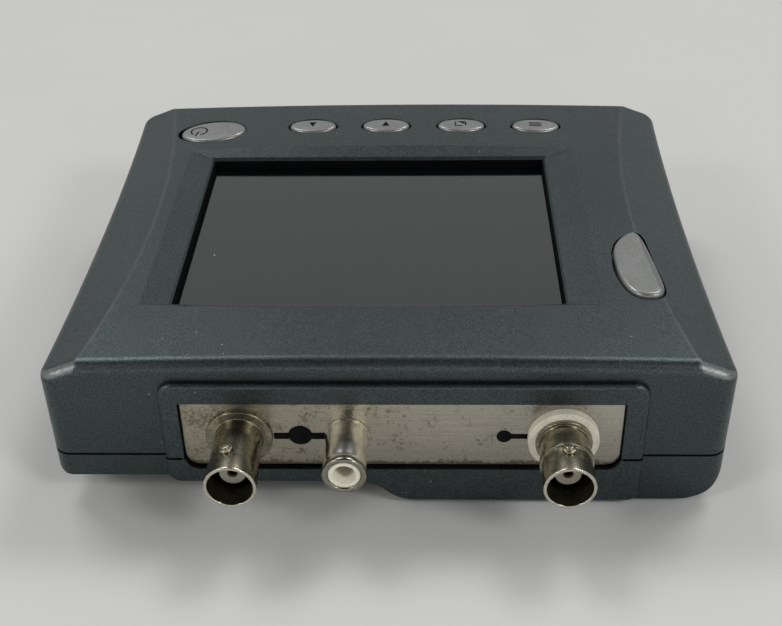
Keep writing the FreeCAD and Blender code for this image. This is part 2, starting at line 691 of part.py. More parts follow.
# ---- connectors ----
def bnc(name, x, lug_turn, ring, washer_t):
    """Bayonet video socket with its two lugs, bulkhead thread and nut."""
    tip = BNC_TIP_Y
    seat = PLATE_Y - washer_t
    lug_y = tip + LUG_BEHIND_RIM
    neck_y = lug_y - 1.2
    shell = [
        barrel(x, tip, neck_y, BNC_R),
        barrel(x, neck_y - 0.2, seat, BNC_NECK_R),
        barrel(x, seat - 0.8, seat, 6.3 if washer_t == 0 else 5.3),
        barrel(x, seat - 0.1, -46.5, BNC_THREAD_R),
    ]
    if ring:
        shell.append(barrel(x, lug_y + 1.3, lug_y + 2.5, BNC_R + 0.2))
    body = fuse(shell)
    lug = Part.makeCylinder(LUG_R, 2 * LUG_REACH, V(x, lug_y, CONNECTOR_Z - LUG_REACH), UP)
    lug.rotate(V(x, lug_y, CONNECTOR_Z), FORWARD, lug_turn)
    body = fuse([body, lug])
    bore_end = tip + BNC_BORE_DEPTH
    body = cut(body, [barrel(x, tip - 1, bore_end, BNC_BORE_R), barrel(x, -60, -40, 2.6)])
    save(name + "_body", body)
    front = tip + 3.8
    core = fuse([barrel(x, front, bore_end, 2.45), barrel(x, bore_end - 0.3, -47.0, 2.58)])
    save(name + "_insulator", core.cut(barrel(x, -80, -30, 0.95)))
    contact = barrel(x, front + 0.1, -44.9, 0.9).cut(barrel(x, front - 1, front + 5, 0.5))
    save(name + "_contact", contact)
    nut_y = PLATE_BACK_Y + (1.2 if washer_t else 0.02)
    save(name + "_nut", hex_nut(x, nut_y, nut_y + 2.0, 12.7, BNC_THREAD_R + 0.05))


def hex_nut(x, y0, y1, across_flats, hole_r):
    points = []
    corner_r = across_flats / 2 / math.cos(math.radians(30))
    for i in range(7):
        a = math.radians(60 * i)
        points.append(V(x + corner_r * math.cos(a), y0, CONNECTOR_Z + corner_r * math.sin(a)))
    block = Part.Face(Part.makePolygon(points)).extrude(V(0, y1 - y0, 0))
    return block.cut(barrel(x, y0 - 1, y1 + 1, hole_r))


def make_connectors():
    plate = box(MOUTH[0] + 0.3, MOUTH[1] - 0.3, PLATE_Y, PLATE_BACK_Y, MOUTH[2] + 0.5, MOUTH[3] + 1.3)
    low = []
    for edge in plate.Edges:
        a = edge.valueAt(edge.FirstParameter)
        b = edge.valueAt(edge.LastParameter)
        if abs(a.y - b.y) > 0.1 and abs(a.z - (MOUTH[2] + 0.5)) < 1e-4 and abs(b.z - a.z) < 1e-4:
            low.append(edge)
    plate = plate.makeFillet(2.6, low)
    holes = [
        barrel(BNC_LEFT_X, -60, -50, BNC_THREAD_R + 0.05),
        barrel(BNC_RIGHT_X, -60, -50, 5.25),
        barrel(RCA_X, -60, -50, 3.55),
    ]
    save("connector_plate", cut(plate, holes))
    bnc("left_bnc", BNC_LEFT_X, -10, False, 0)
    bnc("right_bnc", BNC_RIGHT_X, 0, True, WASHER_T)
    front = fuse([
        barrel(BNC_RIGHT_X, PLATE_Y - WASHER_T, PLATE_Y, 6.65),
        barrel(BNC_RIGHT_X, PLATE_Y - 0.1, PLATE_BACK_Y - 0.1, 5.2),
    ])
    back = barrel(BNC_RIGHT_X, PLATE_BACK_Y, PLATE_BACK_Y + 1.18, 6.3)
    bore = barrel(BNC_RIGHT_X, -70, -40, BNC_THREAD_R + 0.05)
    save("insulating_washers", Part.makeCompound([front.cut(bore), back.cut(bore)]))
    shell = barrel(RCA_X, RCA_TIP_Y, PLATE_Y, RCA_R)
    lip = [e for e in shell.Edges if abs(e.BoundBox.YMax - RCA_TIP_Y) < 1e-3]
    shell = shell.makeFillet(1.0, lip)
    shell = fuse([shell, barrel(RCA_X, PLATE_Y - 0.1, -48.5, 3.5)])
    save("rca_shell", shell.cut(barrel(RCA_X, -80, -40, 3.0)))
    core = barrel(RCA_X, RCA_TIP_Y + 0.35, -48.0, 2.95)
    tip_cone = Part.makeCone(2.2, 1.75, 1.6, V(RCA_X, RCA_TIP_Y + 0.34, CONNECTOR_Z), FORWARD)
    core = cut(core, [barrel(RCA_X, -80, RCA_TIP_Y + 9.6, 1.75), tip_cone, barrel(RCA_X, -60, -40, 0.85)])
    save("rca_insulator", core)
    save("rca_contact", barrel(RCA_X, RCA_TIP_Y + 9.7, -44.9, 0.8))
    save("rca_nut", hex_nut(RCA_X, PLATE_BACK_Y + 0.02, PLATE_BACK_Y + 2.0, 11.0, 3.52))


def jack_block(y, z0, z1, half_width, length, nose_r):
    """Board socket on the left side with a round nose through the case wall."""
    nose_x = -HALF_W + SIDE_WAIST + 0.5
    body_x = -HALF_W + SIDE_WAIST + WALL + 0.6
    body = box(body_x, body_x + length, y - half_width, y + half_width, z0, z1)
    nose = side_bore(nose_x, y, body_x - nose_x + 0.5, nose_r)
    return fuse([body, nose]), nose_x


def make_jacks():
    body, nose_x = jack_block(DC_JACK_Y, JACK_Z - 4.1, BOARD_Z - 0.02, 4.6, 11.0, 5.0)
    save("dc_inlet", body.cut(side_bore(nose_x - 1, DC_JACK_Y, 11.0, 3.2)))
    save("dc_inlet_pin", side_bore(nose_x + 0.6, DC_JACK_Y, 9.4, 1.0))
    body, nose_x = jack_block(AV_JACK_Y, JACK_Z - 3.0, BOARD_Z - 0.02, 3.2, 13.0, 3.1)
    save("av_jack", body.cut(side_bore(nose_x - 1, AV_JACK_Y, 15.0, 1.8)))


# ---- electronics ----
def make_boards():
    x0, x1, y0, y1 = BOARD
    top = BOARD_Z + BOARD_T
    board = box(x0, x1, y0, y1, BOARD_Z, top)
    drills = [box(-60, -49.0, 38, 60, 0, 40), box(-60, -49.0, -60, -38, 0, 40), box(-16, -6, 43.6, 60, 0, 40)]
    for x, y in BOARD_POSTS:
        drills.append(post(x, y, 0, 40, 1.3))
    save("main_board", cut(board, drills))
    screws = []
    for x, y in BOARD_POSTS:
        screws.append(fuse([post(x, y, top, top + 1.4, 2.1), post(x, y, BASE_Z + 5, top + 0.1, 1.0)]))
    save("board_screws", Part.makeCompound(screws))
    key_board = box(-54.0, 41.0, 34.0, 47.5, KEY_BOARD_Z - BOARD_T, KEY_BOARD_Z)
    side_board = box(43.5, 56.0, -39.0, -3.5, KEY_BOARD_Z - BOARD_T, KEY_BOARD_Z)
    drills = [post(x, y, 0, 40, 1.15) for x, y in KEY_SCREWS]
    notches = [post(x, y, 0, 40, 3.8) for x, y, _ in CASE_SCREWS]
    save("key_board", cut(key_board, drills + notches))
    save("side_key_board", cut(side_board, drills))
    screws = []
    for x, y in KEY_SCREWS:
        low = KEY_BOARD_Z - BOARD_T
        screws.append(fuse([post(x, y, low - 0.95, low, 1.8), post(x, y, low - 0.1, 28.0, 0.9)]))
    save("key_board_screws", Part.makeCompound(screws))


def make_chips():
    top = BOARD_Z + BOARD_T
    chips = []
    for x, y, w, d, h in ((-14, 8, 14, 14, 1.4), (12, -8, 10, 10, 1.2), (-32, -6, 8, 6, 1.5),
                          (24, 14, 12, 6, 1.6), (-28, 22, 5, 4, 1.4)):
        chips.append(box(x - w / 2, x + w / 2, y - d / 2, y + d / 2, top, top + h))
    save("chips", Part.makeCompound(chips))
    sockets = []
    sockets.append(box(-16, 8, -35.6, -31.6, top, top + 0.78))
    sockets.append(box(-16, 4, 27.0, 31.0, top, top + 0.55))
    save("ribbon_sockets", Part.makeCompound(sockets))
    ribbon = box(-14, 2, 28.0, 42.0, top + 0.57, top + 0.75)
    save("key_ribbon", ribbon)
    under = BOARD_Z
    caps = []
    for x, y, r, h in ((-40, -26, 4.0, 8.0), (-30, -30, 3.15, 7.0), (-18, -34, 3.15, 7.0),
                       (-8, 30, 4.0, 8.0), (-18, 32, 2.5, 6.0)):
        caps.append(post(x, y, under - h, under, r))
    save("capacitors", Part.makeCompound(caps))
    can = box(-24, -4, -22, -6, under - 4.0, under)
    hollow = box(-23.7, -4.3, -21.7, -6.3, under - 3.7, under + 1)
    save("shield_can", can.cut(hollow))
    crystal = rounded_box(4.0, 8.6, 20.0, 31.0, top, top + 2.6, 2.2)
    save("crystal", crystal)
    save("backlight_transformer", box(-44, -32, -17, -7, under - 6.5, under))
    coil = fuse([post(-8, 14, under - 4.5, under - 3.6, 4.0), post(-8, 14, under - 3.7, under - 0.9, 3.0),
                 post(-8, 14, under - 1.0, under, 4.0)])
    save("power_coil", coil)
    pads = []
    for x in (-36, 30):
        for y in (-24, 21):
            pads.append(box(x - 4, x + 4, y - 4, y + 4, top + 0.02, LENS_Z - 5.72))
    save("foam_pads", Part.makeCompound(pads))


def make_speaker():
    x, y = SPEAKER_AT
    floor = BASE_Z + 2.0
    rim = post(x, y, floor, floor + 1.2, 14.2).cut(post(x, y, floor - 1, floor + 2, 12.6))
    basket = Part.makeCone(14.0, 7.5, 3.0, V(x, y, floor + 1.1), UP)
    hollow = Part.makeCone(13.2, 6.7, 3.0, V(x, y, floor + 1.0), UP)
    magnet = post(x, y, floor + 4.05, floor + 7.2, 7.6)
    save("speaker_frame", fuse([rim, basket.cut(hollow), magnet]))
    cone = Part.makeCone(12.4, 4.0, 2.0, V(x, y, floor + 1.05), UP)
    inside = Part.makeCone(11.9, 3.5, 2.0, V(x, y, floor + 0.75), UP)
    cap = post(x, y, floor + 2.2, floor + 2.7, 4.2)
    save("speaker_cone", fuse([cone.cut(inside), cap]).cut(post(x, y, 0, floor + 1.06, 13)))


def make_battery():
    cells = []
    plates = []
    x1 = CELL_X + CELL_LENGTH
    for i in range(CELL_COUNT):
        y = CELL_Y + i * CELL_PITCH
        body = Part.makeCylinder(CELL_R, CELL_LENGTH - 1.2, V(CELL_X, y, CELL_Z), RIGHT)
        knob = Part.makeCylinder(2.7, 1.3, V(x1 - 1.3, y, CELL_Z), RIGHT)
        cell = fuse([body, knob])
        if i % 2:
            cell.rotate(V((CELL_X + x1) / 2, y, CELL_Z), UP, 180)
        cells.append(cell)
        for wall_x, tip_x in ((WELL[0] + 0.02, CELL_X - 0.03), (WELL[1] - 0.42, x1 + 0.03)):
            plate = box(wall_x, wall_x + 0.4, y - 5.5, y + 5.5, CELL_Z - 6, CELL_Z + 6)
            low = min(wall_x + 0.2, tip_x)
            nub = Part.makeCylinder(2.4, abs(tip_x - wall_x - 0.2), V(low, y, CELL_Z), RIGHT)
            plates.append(fuse([plate, nub]))
    save("battery_cells", Part.makeCompound(cells))
    for i in (0, CELL_COUNT - 1):
        y = CELL_Y + i * CELL_PITCH
        tab = box(WELL[0] - 3.2, WELL[0] + 0.2, y - 1.5, y + 1.5, 13.0, 13.4)
        plates[2 * i] = fuse([plates[2 * i], tab])
    save("battery_contacts", Part.makeCompound(plates))


def bent_lead(start, turn_at, end, radius, bend):
    """Insulated wire: straight, one round bend, straight."""
    a = V(*start)
    b = V(*turn_at)
    c = V(*end)
    into = (b - a).normalize()
    out = (c - b).normalize()
    p = b - into * bend
    q = b + out * bend
    k = 1 - math.sqrt(0.5)
    middle = p + into * (bend * (1 - k)) + out * (bend * k)
    path = Part.Wire([Part.makeLine(a, p), Part.Arc(p, middle, q).toShape(), Part.makeLine(q, c)])
    ring = Part.Wire([Part.makeCircle(radius, a, into)])
    return path.makePipeShell([ring], True, False)


def make_leads():
    under = BOARD_Z - 0.02
    leads = []
    for x in (BNC_LEFT_X, RCA_X, BNC_RIGHT_X):
        leads.append(post(x, -45.6, CONNECTOR_Z + 0.95, under, 0.5))
    for i in (0, CELL_COUNT - 1):
        y = CELL_Y + i * CELL_PITCH
        x = WELL[0] - 3.2
        leads.append(bent_lead((x - 0.02, y, 13.2), (x - 2.5, y, 13.2), (x - 2.5, y, under), 0.7, 1.5))
    x, y = SPEAKER_AT
    for shift in (-1.5, 1.5):
        leads.append(bent_lead((x + 7.7, y + shift, 14.4), (x + 12, y + shift, 14.4),
                               (x + 12, y + shift, under), 0.6, 1.4))
    save("internal_leads", Part.makeCompound(leads))


def make_case_screws():
    screws = []
    arm = 1.6
    slot = 0.3
    for x, y, _ in CASE_SCREWS:
        cross = [
            box(x - arm, x + arm, y - slot, y + slot, 7, 8.4),
            box(x - slot, x + slot, y - arm, y + arm, 7, 8.4),
        ]
        head = cut(post(x, y, 7.6, 9.28, 2.6), cross)
        screws.append(fuse([head, post(x, y, 9.2, 21.5, 1.3)]))
    save("case_screws", Part.makeCompound(screws))


def main():
    os.makedirs("parts", exist_ok=True)
    form = upper_form()
    make_upper_shell(form)
    make_lower_shell()
    make_battery_door()
    make_feet()
    make_screen()
    make_connectors()
    make_jacks()
    make_boards()
    make_chips()
    make_speaker()
    make_battery()
    make_leads()
    make_case_screws()


main()
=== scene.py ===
import json
import math

import bmesh
import bpy
import numpy as np
from mathutils import Matrix, Vector
from mathutils.bvhtree import BVHTree


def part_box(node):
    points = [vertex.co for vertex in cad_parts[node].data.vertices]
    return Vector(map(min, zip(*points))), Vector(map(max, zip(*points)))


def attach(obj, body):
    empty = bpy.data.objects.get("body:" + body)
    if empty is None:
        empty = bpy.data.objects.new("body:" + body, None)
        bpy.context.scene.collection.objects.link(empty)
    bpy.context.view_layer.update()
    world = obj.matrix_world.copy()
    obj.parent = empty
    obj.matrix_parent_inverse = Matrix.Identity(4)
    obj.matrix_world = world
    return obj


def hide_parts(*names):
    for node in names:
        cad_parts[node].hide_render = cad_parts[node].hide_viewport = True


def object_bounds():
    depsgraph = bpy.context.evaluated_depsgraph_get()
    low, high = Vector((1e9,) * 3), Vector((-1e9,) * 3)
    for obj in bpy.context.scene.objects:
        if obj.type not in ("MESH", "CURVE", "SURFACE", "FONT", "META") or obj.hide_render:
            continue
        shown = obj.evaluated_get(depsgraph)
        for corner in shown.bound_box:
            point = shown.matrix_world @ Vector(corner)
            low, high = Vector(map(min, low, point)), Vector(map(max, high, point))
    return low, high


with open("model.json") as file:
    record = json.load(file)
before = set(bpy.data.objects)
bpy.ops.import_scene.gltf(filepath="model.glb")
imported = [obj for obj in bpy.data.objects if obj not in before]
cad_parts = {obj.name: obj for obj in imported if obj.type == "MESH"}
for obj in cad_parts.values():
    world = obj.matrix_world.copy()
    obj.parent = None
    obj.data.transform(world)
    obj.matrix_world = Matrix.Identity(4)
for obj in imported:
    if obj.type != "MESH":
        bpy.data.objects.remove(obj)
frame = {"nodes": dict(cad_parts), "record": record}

# Looks of the hand-held video test monitor, in metres, in the frame that the CAD part uses.
MM = 0.001
cad_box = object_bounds()
record = frame["record"]
nodes = frame["nodes"]

# The ridge between the case's top and its flanks: |x| = RIDGE_X + RIDGE_BOW * (y - RIDGE_Y) ** 2.
RIDGE_X = 0.0513
RIDGE_BOW = 1.9055
RIDGE_Y = 0.0079
# Heights in millimetres: the line between the shells, the lower shell's wall under it, the key flanges.
SEAM_LOW, SEAM_HIGH = 11.64, 12.16
SEAM_PROBE = 11.6
FLANGE_LOW, FLANGE_HIGH = 30.25, 31.05
# Key caps lie this much under the CAD keys' tops, so that the ink on them stays in the CAD box.
BELOW_TOP = 0.035 * MM


# ---------------------------------------------------------------- shader helpers
class Wiring:
    """A node tree being wired: add() makes a node, link() joins two sockets."""

    def __init__(self, tree):
        self.tree = tree

    def add(self, kind, **settings):
        node = self.tree.nodes.new(kind)
        for key, value in settings.items():
            setattr(node, key, value)
        return node

    def link(self, source, target):
        self.tree.links.new(source, target)

    def split(self, vector):
        """A vector's X, Y and Z."""
        node = self.add("ShaderNodeSeparateXYZ")
        self.link(vector, node.inputs["Vector"])
        return node.outputs

    def span(self, value, start, end, smooth=True):
        """Maps the range start[0]..end[0] to start[1]..end[1]."""
        node = self.add("ShaderNodeMapRange", interpolation_type="SMOOTHSTEP" if smooth else "LINEAR")
        keys = ("From Min", "To Min", "From Max", "To Max")
        for key, number in zip(keys, (*start, *end)):
            if isinstance(number, bpy.types.NodeSocket):
                self.link(number, node.inputs[key])
            else:
                node.inputs[key].default_value = number
        self.link(value, node.inputs["Value"])
        return node.outputs["Result"]

    def math(self, operation, a, b=0.0):
        node = self.add("ShaderNodeMath", operation=operation)
        for socket, value in ((node.inputs[0], a), (node.inputs[1], b)):
            if isinstance(value, bpy.types.NodeSocket):
                self.link(value, socket)
            else:
                socket.default_value = value
        return node.outputs["Value"]


class Paint(Wiring):
    """A material being wired."""

    def __init__(self, name, roughness=0.5, metallic=0.0):
        self.material = bpy.data.materials.new(name)
        self.material.use_nodes = True
        super().__init__(self.material.node_tree)
        self.shader = self.tree.nodes["Principled BSDF"]
        self.shader.inputs["Roughness"].default_value = roughness
        self.shader.inputs["Metallic"].default_value = metallic
        self.place = self.add("ShaderNodeTexCoord").outputs["Object"]

    def stretched(self, scale):
        """Object coordinates scaled per axis, for streaks."""
        mapping = self.add("ShaderNodeMapping")
        mapping.inputs["Scale"].default_value = scale
        self.link(self.place, mapping.inputs["Vector"])
        return mapping.outputs["Vector"]

    def noise(self, scale, detail=2.0, rough=0.5, vector=None, distortion=0.0):
        node = self.add("ShaderNodeTexNoise")
        node.inputs["Scale"].default_value = scale
        node.inputs["Detail"].default_value = detail
        node.inputs["Roughness"].default_value = rough
        node.inputs["Distortion"].default_value = distortion
        self.link(vector or self.place, node.inputs["Vector"])
        return node.outputs["Fac"]

    def cells(self, scale):
        """Distance from the middle of the nearest cell."""
        node = self.add("ShaderNodeTexVoronoi", feature="F1")
        node.inputs["Scale"].default_value = scale
        self.link(self.place, node.inputs["Vector"])
        return node.outputs["Distance"]

    def ramp(self, factor, stops, interpolation="LINEAR"):
        """Colour ramp from (position, colour or grey) stops."""
        node = self.add("ShaderNodeValToRGB")
        node.color_ramp.interpolation = interpolation
        elements = node.color_ramp.elements
        while len(elements) < len(stops):
            elements.new(0.5)
        for element, (position, value) in zip(elements, stops):
            element.position = position
            shade = (value, value, value) if isinstance(value, (int, float)) else value
            element.color = (*shade, 1)
        self.link(factor, node.inputs["Fac"])
        return node.outputs["Color"]

    def mix(self, factor, a, b, mode="MIX"):
        node = self.add("ShaderNodeMix", data_type="RGBA", blend_type=mode)
        for socket, value in ((node.inputs["Factor"], factor), (node.inputs["A"], a), (node.inputs["B"], b)):
            if isinstance(value, bpy.types.NodeSocket):
                self.link(value, socket)
            elif isinstance(value, (int, float)) and socket.type == "VALUE":
                socket.default_value = value
            else:
                socket.default_value = (*value, 1)
        return next(o for o in node.outputs if o.type == "RGBA")

    def spread(self, at):
        """Distance from the case's middle line, less the ridge's bow."""
        across = self.math("ABSOLUTE", at["X"])
        along = self.math("SUBTRACT", at["Y"], RIDGE_Y)
        bowed = self.math("MULTIPLY", self.math("MULTIPLY", along, along), RIDGE_BOW)
        return self.math("SUBTRACT", across, bowed)

    def bump(self, height, distance, strength):
        node = self.add("ShaderNodeBump")
        node.inputs["Strength"].default_value = strength
        node.inputs["Distance"].default_value = distance
        self.link(height, node.inputs["Height"])
        return node.outputs["Normal"]

    def done(self, color=None, roughness=None, normal=None):
        for key, source in (("Base Color", color), ("Roughness", roughness), ("Normal", normal)):
            if isinstance(source, bpy.types.NodeSocket):
                self.link(source, self.shader.inputs[key])
            elif source is not None:
                self.shader.inputs[key].default_value = (*source, 1)
        return self.material


def linear(r, g, b):
    """sRGB 0..255 to linear."""
    return tuple((c / 255 / 12.92) if c <= 10.3 else ((c / 255 + 0.055) / 1.055) ** 2.4 for c in (r, g, b))


# ---------------------------------------------------------------- materials
def case_paint(name):
    """Dark blue-grey metallic paint: flakes, painted highlights on the ridges and front corners, dust specks,
    light pebbling.
    """
    p = Paint(name, roughness=0.4, metallic=1.0)
    fine = p.noise(3200, 2, 0.7)
    tone = p.ramp(fine, [(0.32, (0.036, 0.0465, 0.0495)), (0.68, (0.091, 0.109, 0.1135))])
    drift = p.ramp(p.noise(28, 3, 0.6), [(0.3, 0.92), (0.7, 1.06)])
    color = p.mix(1.0, tone, drift, "MULTIPLY")
    at = p.split(p.place)
    spread = p.spread(at)
    # Painted highlight: a lighter, broken line of colour along the ridge between the top and the flanks.
    off_ridge = p.math("ABSOLUTE", p.math("SUBTRACT", spread, RIDGE_X))
    ridge = p.ramp(p.math("MULTIPLY", off_ridge, 1000.0), [(0.1, 1.0), (0.6, 0.0)], "EASE")
    high_up = p.math("GREATER_THAN", at["Z"], 0.0322)
    ridge_highlight_breakup = p.ramp(p.noise(160, 4, 0.6), [(0.3, 0.45), (0.7, 1.0)])
    ridge_highlight = p.math("MULTIPLY", p.math("MULTIPLY", ridge, high_up), ridge_highlight_breakup)
    color = p.mix(p.math("MULTIPLY", ridge_highlight, 0.3), color, (0.16, 0.168, 0.165))
    # Painted highlight: lighter colour on the rounded front edge of each flank, at the case's front corners.
    facing = p.split(p.add("ShaderNodeTexCoord").outputs["Normal"])
    forward = p.ramp(p.math("MULTIPLY", facing["Y"], -1.0),
                     [(0.15, 0.0), (0.4, 1.0), (0.86, 1.0), (0.97, 0.0)], "EASE")
    upward = p.ramp(facing["Z"], [(0.2, 0.0), (0.45, 1.0)], "EASE")
    beyond_ridge = p.math("GREATER_THAN", spread, RIDGE_X + 0.2 * MM)
    top_side = p.math("GREATER_THAN", at["Z"], 0.026)
    corner_highlight_grain = p.ramp(p.noise(1500, 4, 0.7), [(0.35, 0.5), (0.65, 1.0)])
    rounded = p.math("MULTIPLY", forward, upward)
    corner = p.math("MULTIPLY", rounded, p.math("MULTIPLY", beyond_ridge, top_side))
    color = p.mix(p.math("MULTIPLY", p.math("MULTIPLY", corner, corner_highlight_grain), 0.85), color, (0.235, 0.25, 0.245))
    dust = p.cells(330)
    chosen = p.math("GREATER_THAN", p.noise(37, 1, 0.5), 0.63)
    speck = p.math("MULTIPLY", p.ramp(dust, [(0.045, 1.0), (0.07, 0.0)]), chosen)
    color = p.mix(p.math("MULTIPLY", speck, 0.55), color, (0.42, 0.43, 0.42))
    rough = p.ramp(p.noise(900, 3, 0.6), [(0.25, 0.35), (0.75, 0.43)])
    normal = p.bump(fine, 0.00007, 0.5)
    return p.done(color, rough, normal)


def silver_paint(name):
    """Satin silver key paint: fine metal grain, a little soil, and painted shade along the side key's fold and
    past it.
    """
    p = Paint(name, roughness=0.34, metallic=0.65)
    grain = p.noise(3200, 2, 0.6)
    color = p.ramp(grain, [(0.3, linear(126, 128, 127)), (0.7, linear(150, 152, 150))])
    soil = p.ramp(p.noise(260, 4, 0.7), [(0.35, 0.88), (0.62, 1.0)])
    color = p.mix(1.0, color, soil, "MULTIPLY")
    # Painted shade: a dark line along the side key's fold and a darker strip outside it.
    past = p.math("SUBTRACT", p.spread(p.split(p.place)), RIDGE_X)
    fold = p.ramp(p.math("ADD", p.math("MULTIPLY", past, 250.0), 0.5),
                  [(0.44, 1.0), (0.5, 0.6), (0.55, 0.74), (0.8, 0.82)])
    color = p.mix(1.0, color, fold, "MULTIPLY")
    rough = p.ramp(p.noise(700, 3, 0.6), [(0.3, 0.3), (0.7, 0.38)])
    return p.done(color, rough, p.bump(grain, 0.00001, 0.08))


def plate_metal(name):
    """Brushed nickel plate: lengthwise streaks and dark corrosion spots, worst on the left."""
    p = Paint(name, roughness=0.22, metallic=1.0)
    streak = p.noise(60, 5, 0.75, p.stretched((1.0, 1.0, 55.0)))
    color = p.ramp(streak, [(0.3, linear(160, 156, 145)), (0.7, linear(185, 181, 170))])
    at = p.split(p.place)
    low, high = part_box("connector_plate")
    ageing = p.span(at["X"], (low.x, 0.54), (high.x, 0.0), smooth=False)
    patch = p.noise(210, 5, 0.72)
    spots = p.noise(1500, 4, 0.8)
    dark = p.math("ADD", p.math("MULTIPLY", patch, 0.45), p.math("MULTIPLY", spots, 0.55))
    dark = p.math("ADD", dark, p.math("MULTIPLY", ageing, 0.13))
    dark = p.math("ADD", dark, p.span(at["Z"], (low.z, 0.16), (low.z + 1.6 * MM, 0.0)))
    mask = p.ramp(dark, [(0.57, 0.0), (0.66, 1.0)])
    color = p.mix(p.math("MULTIPLY", mask, 0.75), color, linear(70, 62, 42))
    color = p.mix(p.math("MULTIPLY", ageing, 0.5), color, linear(142, 132, 98))
    rough = p.ramp(dark, [(0.4, 0.17), (0.7, 0.5)])
    return p.done(color, rough, p.bump(streak, 0.00002, 0.25))


def aged_nickel(name, tint=(150, 146, 127), wear=1.0):
    """Old nickel plating: warm tarnish in cloudy patches, fine scratches and dark pits."""
    p = Paint(name, roughness=0.24, metallic=1.0)
    cloud = p.noise(300, 5, 0.7, None, 0.4)
    low = linear(*[c * (1 - 0.34 * wear) for c in tint])
    color = p.ramp(cloud, [(0.34, low), (0.58, linear(*tint))])
    stain = p.ramp(p.noise(700, 5, 0.75), [(0.54, 0.0), (0.68, 1.0)])
    color = p.mix(p.math("MULTIPLY", stain, 0.55 * wear), color, linear(74, 64, 42))
    pits = p.noise(2600, 3, 0.75)
    pit_mask = p.ramp(pits, [(0.60, 0.0), (0.68, 1.0)])
    color = p.mix(p.math("MULTIPLY", pit_mask, 0.6 * wear), color, linear(44, 38, 26))
    scratch = p.noise(240, 4, 0.7, p.stretched((1.0, 14.0, 1.0)))
    height = p.math("ADD", pits, p.math("MULTIPLY", scratch, 0.6))
    rough = p.ramp(cloud, [(0.3, 0.16 + 0.2 * wear), (0.65, 0.14 + 0.07 * wear)])
    return p.done(color, rough, p.bump(height, 0.00004, 0.25 * wear))


def plain_plastic(name, rgb, roughness=0.45, grain=2500, depth=0.00003, spread=0.12):
    """Moulded plastic with a fine grain and a little dirt."""
    p = Paint(name, roughness=roughness)
    fine = p.noise(grain, 3, 0.6)
    low = tuple(c * (1 - spread) for c in rgb)
    high = tuple(min(255, c * (1 + spread)) for c in rgb)
    color = p.ramp(fine, [(0.3, linear(*low)), (0.7, linear(*high))])
    dirt = p.ramp(p.noise(180, 4, 0.7), [(0.3, 0.8), (0.6, 1.0)])
    color = p.mix(1.0, color, dirt, "MULTIPLY")
    rough = p.ramp(p.noise(500, 2), [(0.3, roughness * 0.85), (0.7, min(1.0, roughness * 1.2))])
    return p.done(color, rough, p.bump(fine, depth, 0.5))


def plain_metal(name, rgb, roughness):
    """Bare or plated metal with rolled grain."""
    p = Paint(name, roughness=roughness, metallic=1.0)
    fine = p.noise(1800, 4, 0.65)
    color = p.ramp(fine, [(0.3, linear(*[c * 0.8 for c in rgb])), (0.7, linear(*rgb))])
    rough = p.ramp(p.noise(400, 3), [(0.3, roughness * 0.8), (0.7, roughness * 1.4)])
    return p.done(color, rough, p.bump(fine, 0.00002, 0.4))


def board_resist(name):
    """Green solder resist over copper areas, with pale pads."""
    p = Paint(name, roughness=0.35)
    area = p.cells(260)
    tone = p.ramp(area, [(0.2, linear(24, 88, 44)), (0.6, linear(14, 62, 32))])
    pads = p.ramp(p.cells(520), [(0.10, 1.0), (0.14, 0.0)])
    color = p.mix(pads, tone, linear(196, 190, 170))
    rough = p.ramp(p.noise(300, 2), [(0.3, 0.28), (0.7, 0.42)])
    return p.done(color, rough, p.bump(area, 0.00003, 0.5))


def screen_glass(name):
    """Dark tinted lens: a near-black gloss with faint smears and dust."""
    p = Paint(name, roughness=0.06)
    p.shader.inputs["IOR"].default_value = 1.95
    smear = p.noise(46, 4, 0.6, None, 0.6)
    color = p.ramp(smear, [(0.3, linear(3, 6, 7)), (0.7, linear(7, 11, 12))])
    p.shader.inputs["Specular Tint"].default_value = (0.92, 1.0, 0.985, 1)
    dust = p.ramp(p.cells(190), [(0.030, 1.0), (0.045, 0.0)])
    chosen = p.math("GREATER_THAN", p.noise(41, 1, 0.5), 0.56)
    color = p.mix(p.math("MULTIPLY", dust, chosen), color, linear(170, 172, 165))
    rough = p.ramp(p.noise(90, 4, 0.65, None, 0.8), [(0.3, 0.03), (0.75, 0.11)])
    return p.done(color, rough)


def dull(material, level):
    """Takes most of the gloss off a material."""
    material.node_tree.nodes["Principled BSDF"].inputs["Specular IOR Level"].default_value = level
    return material


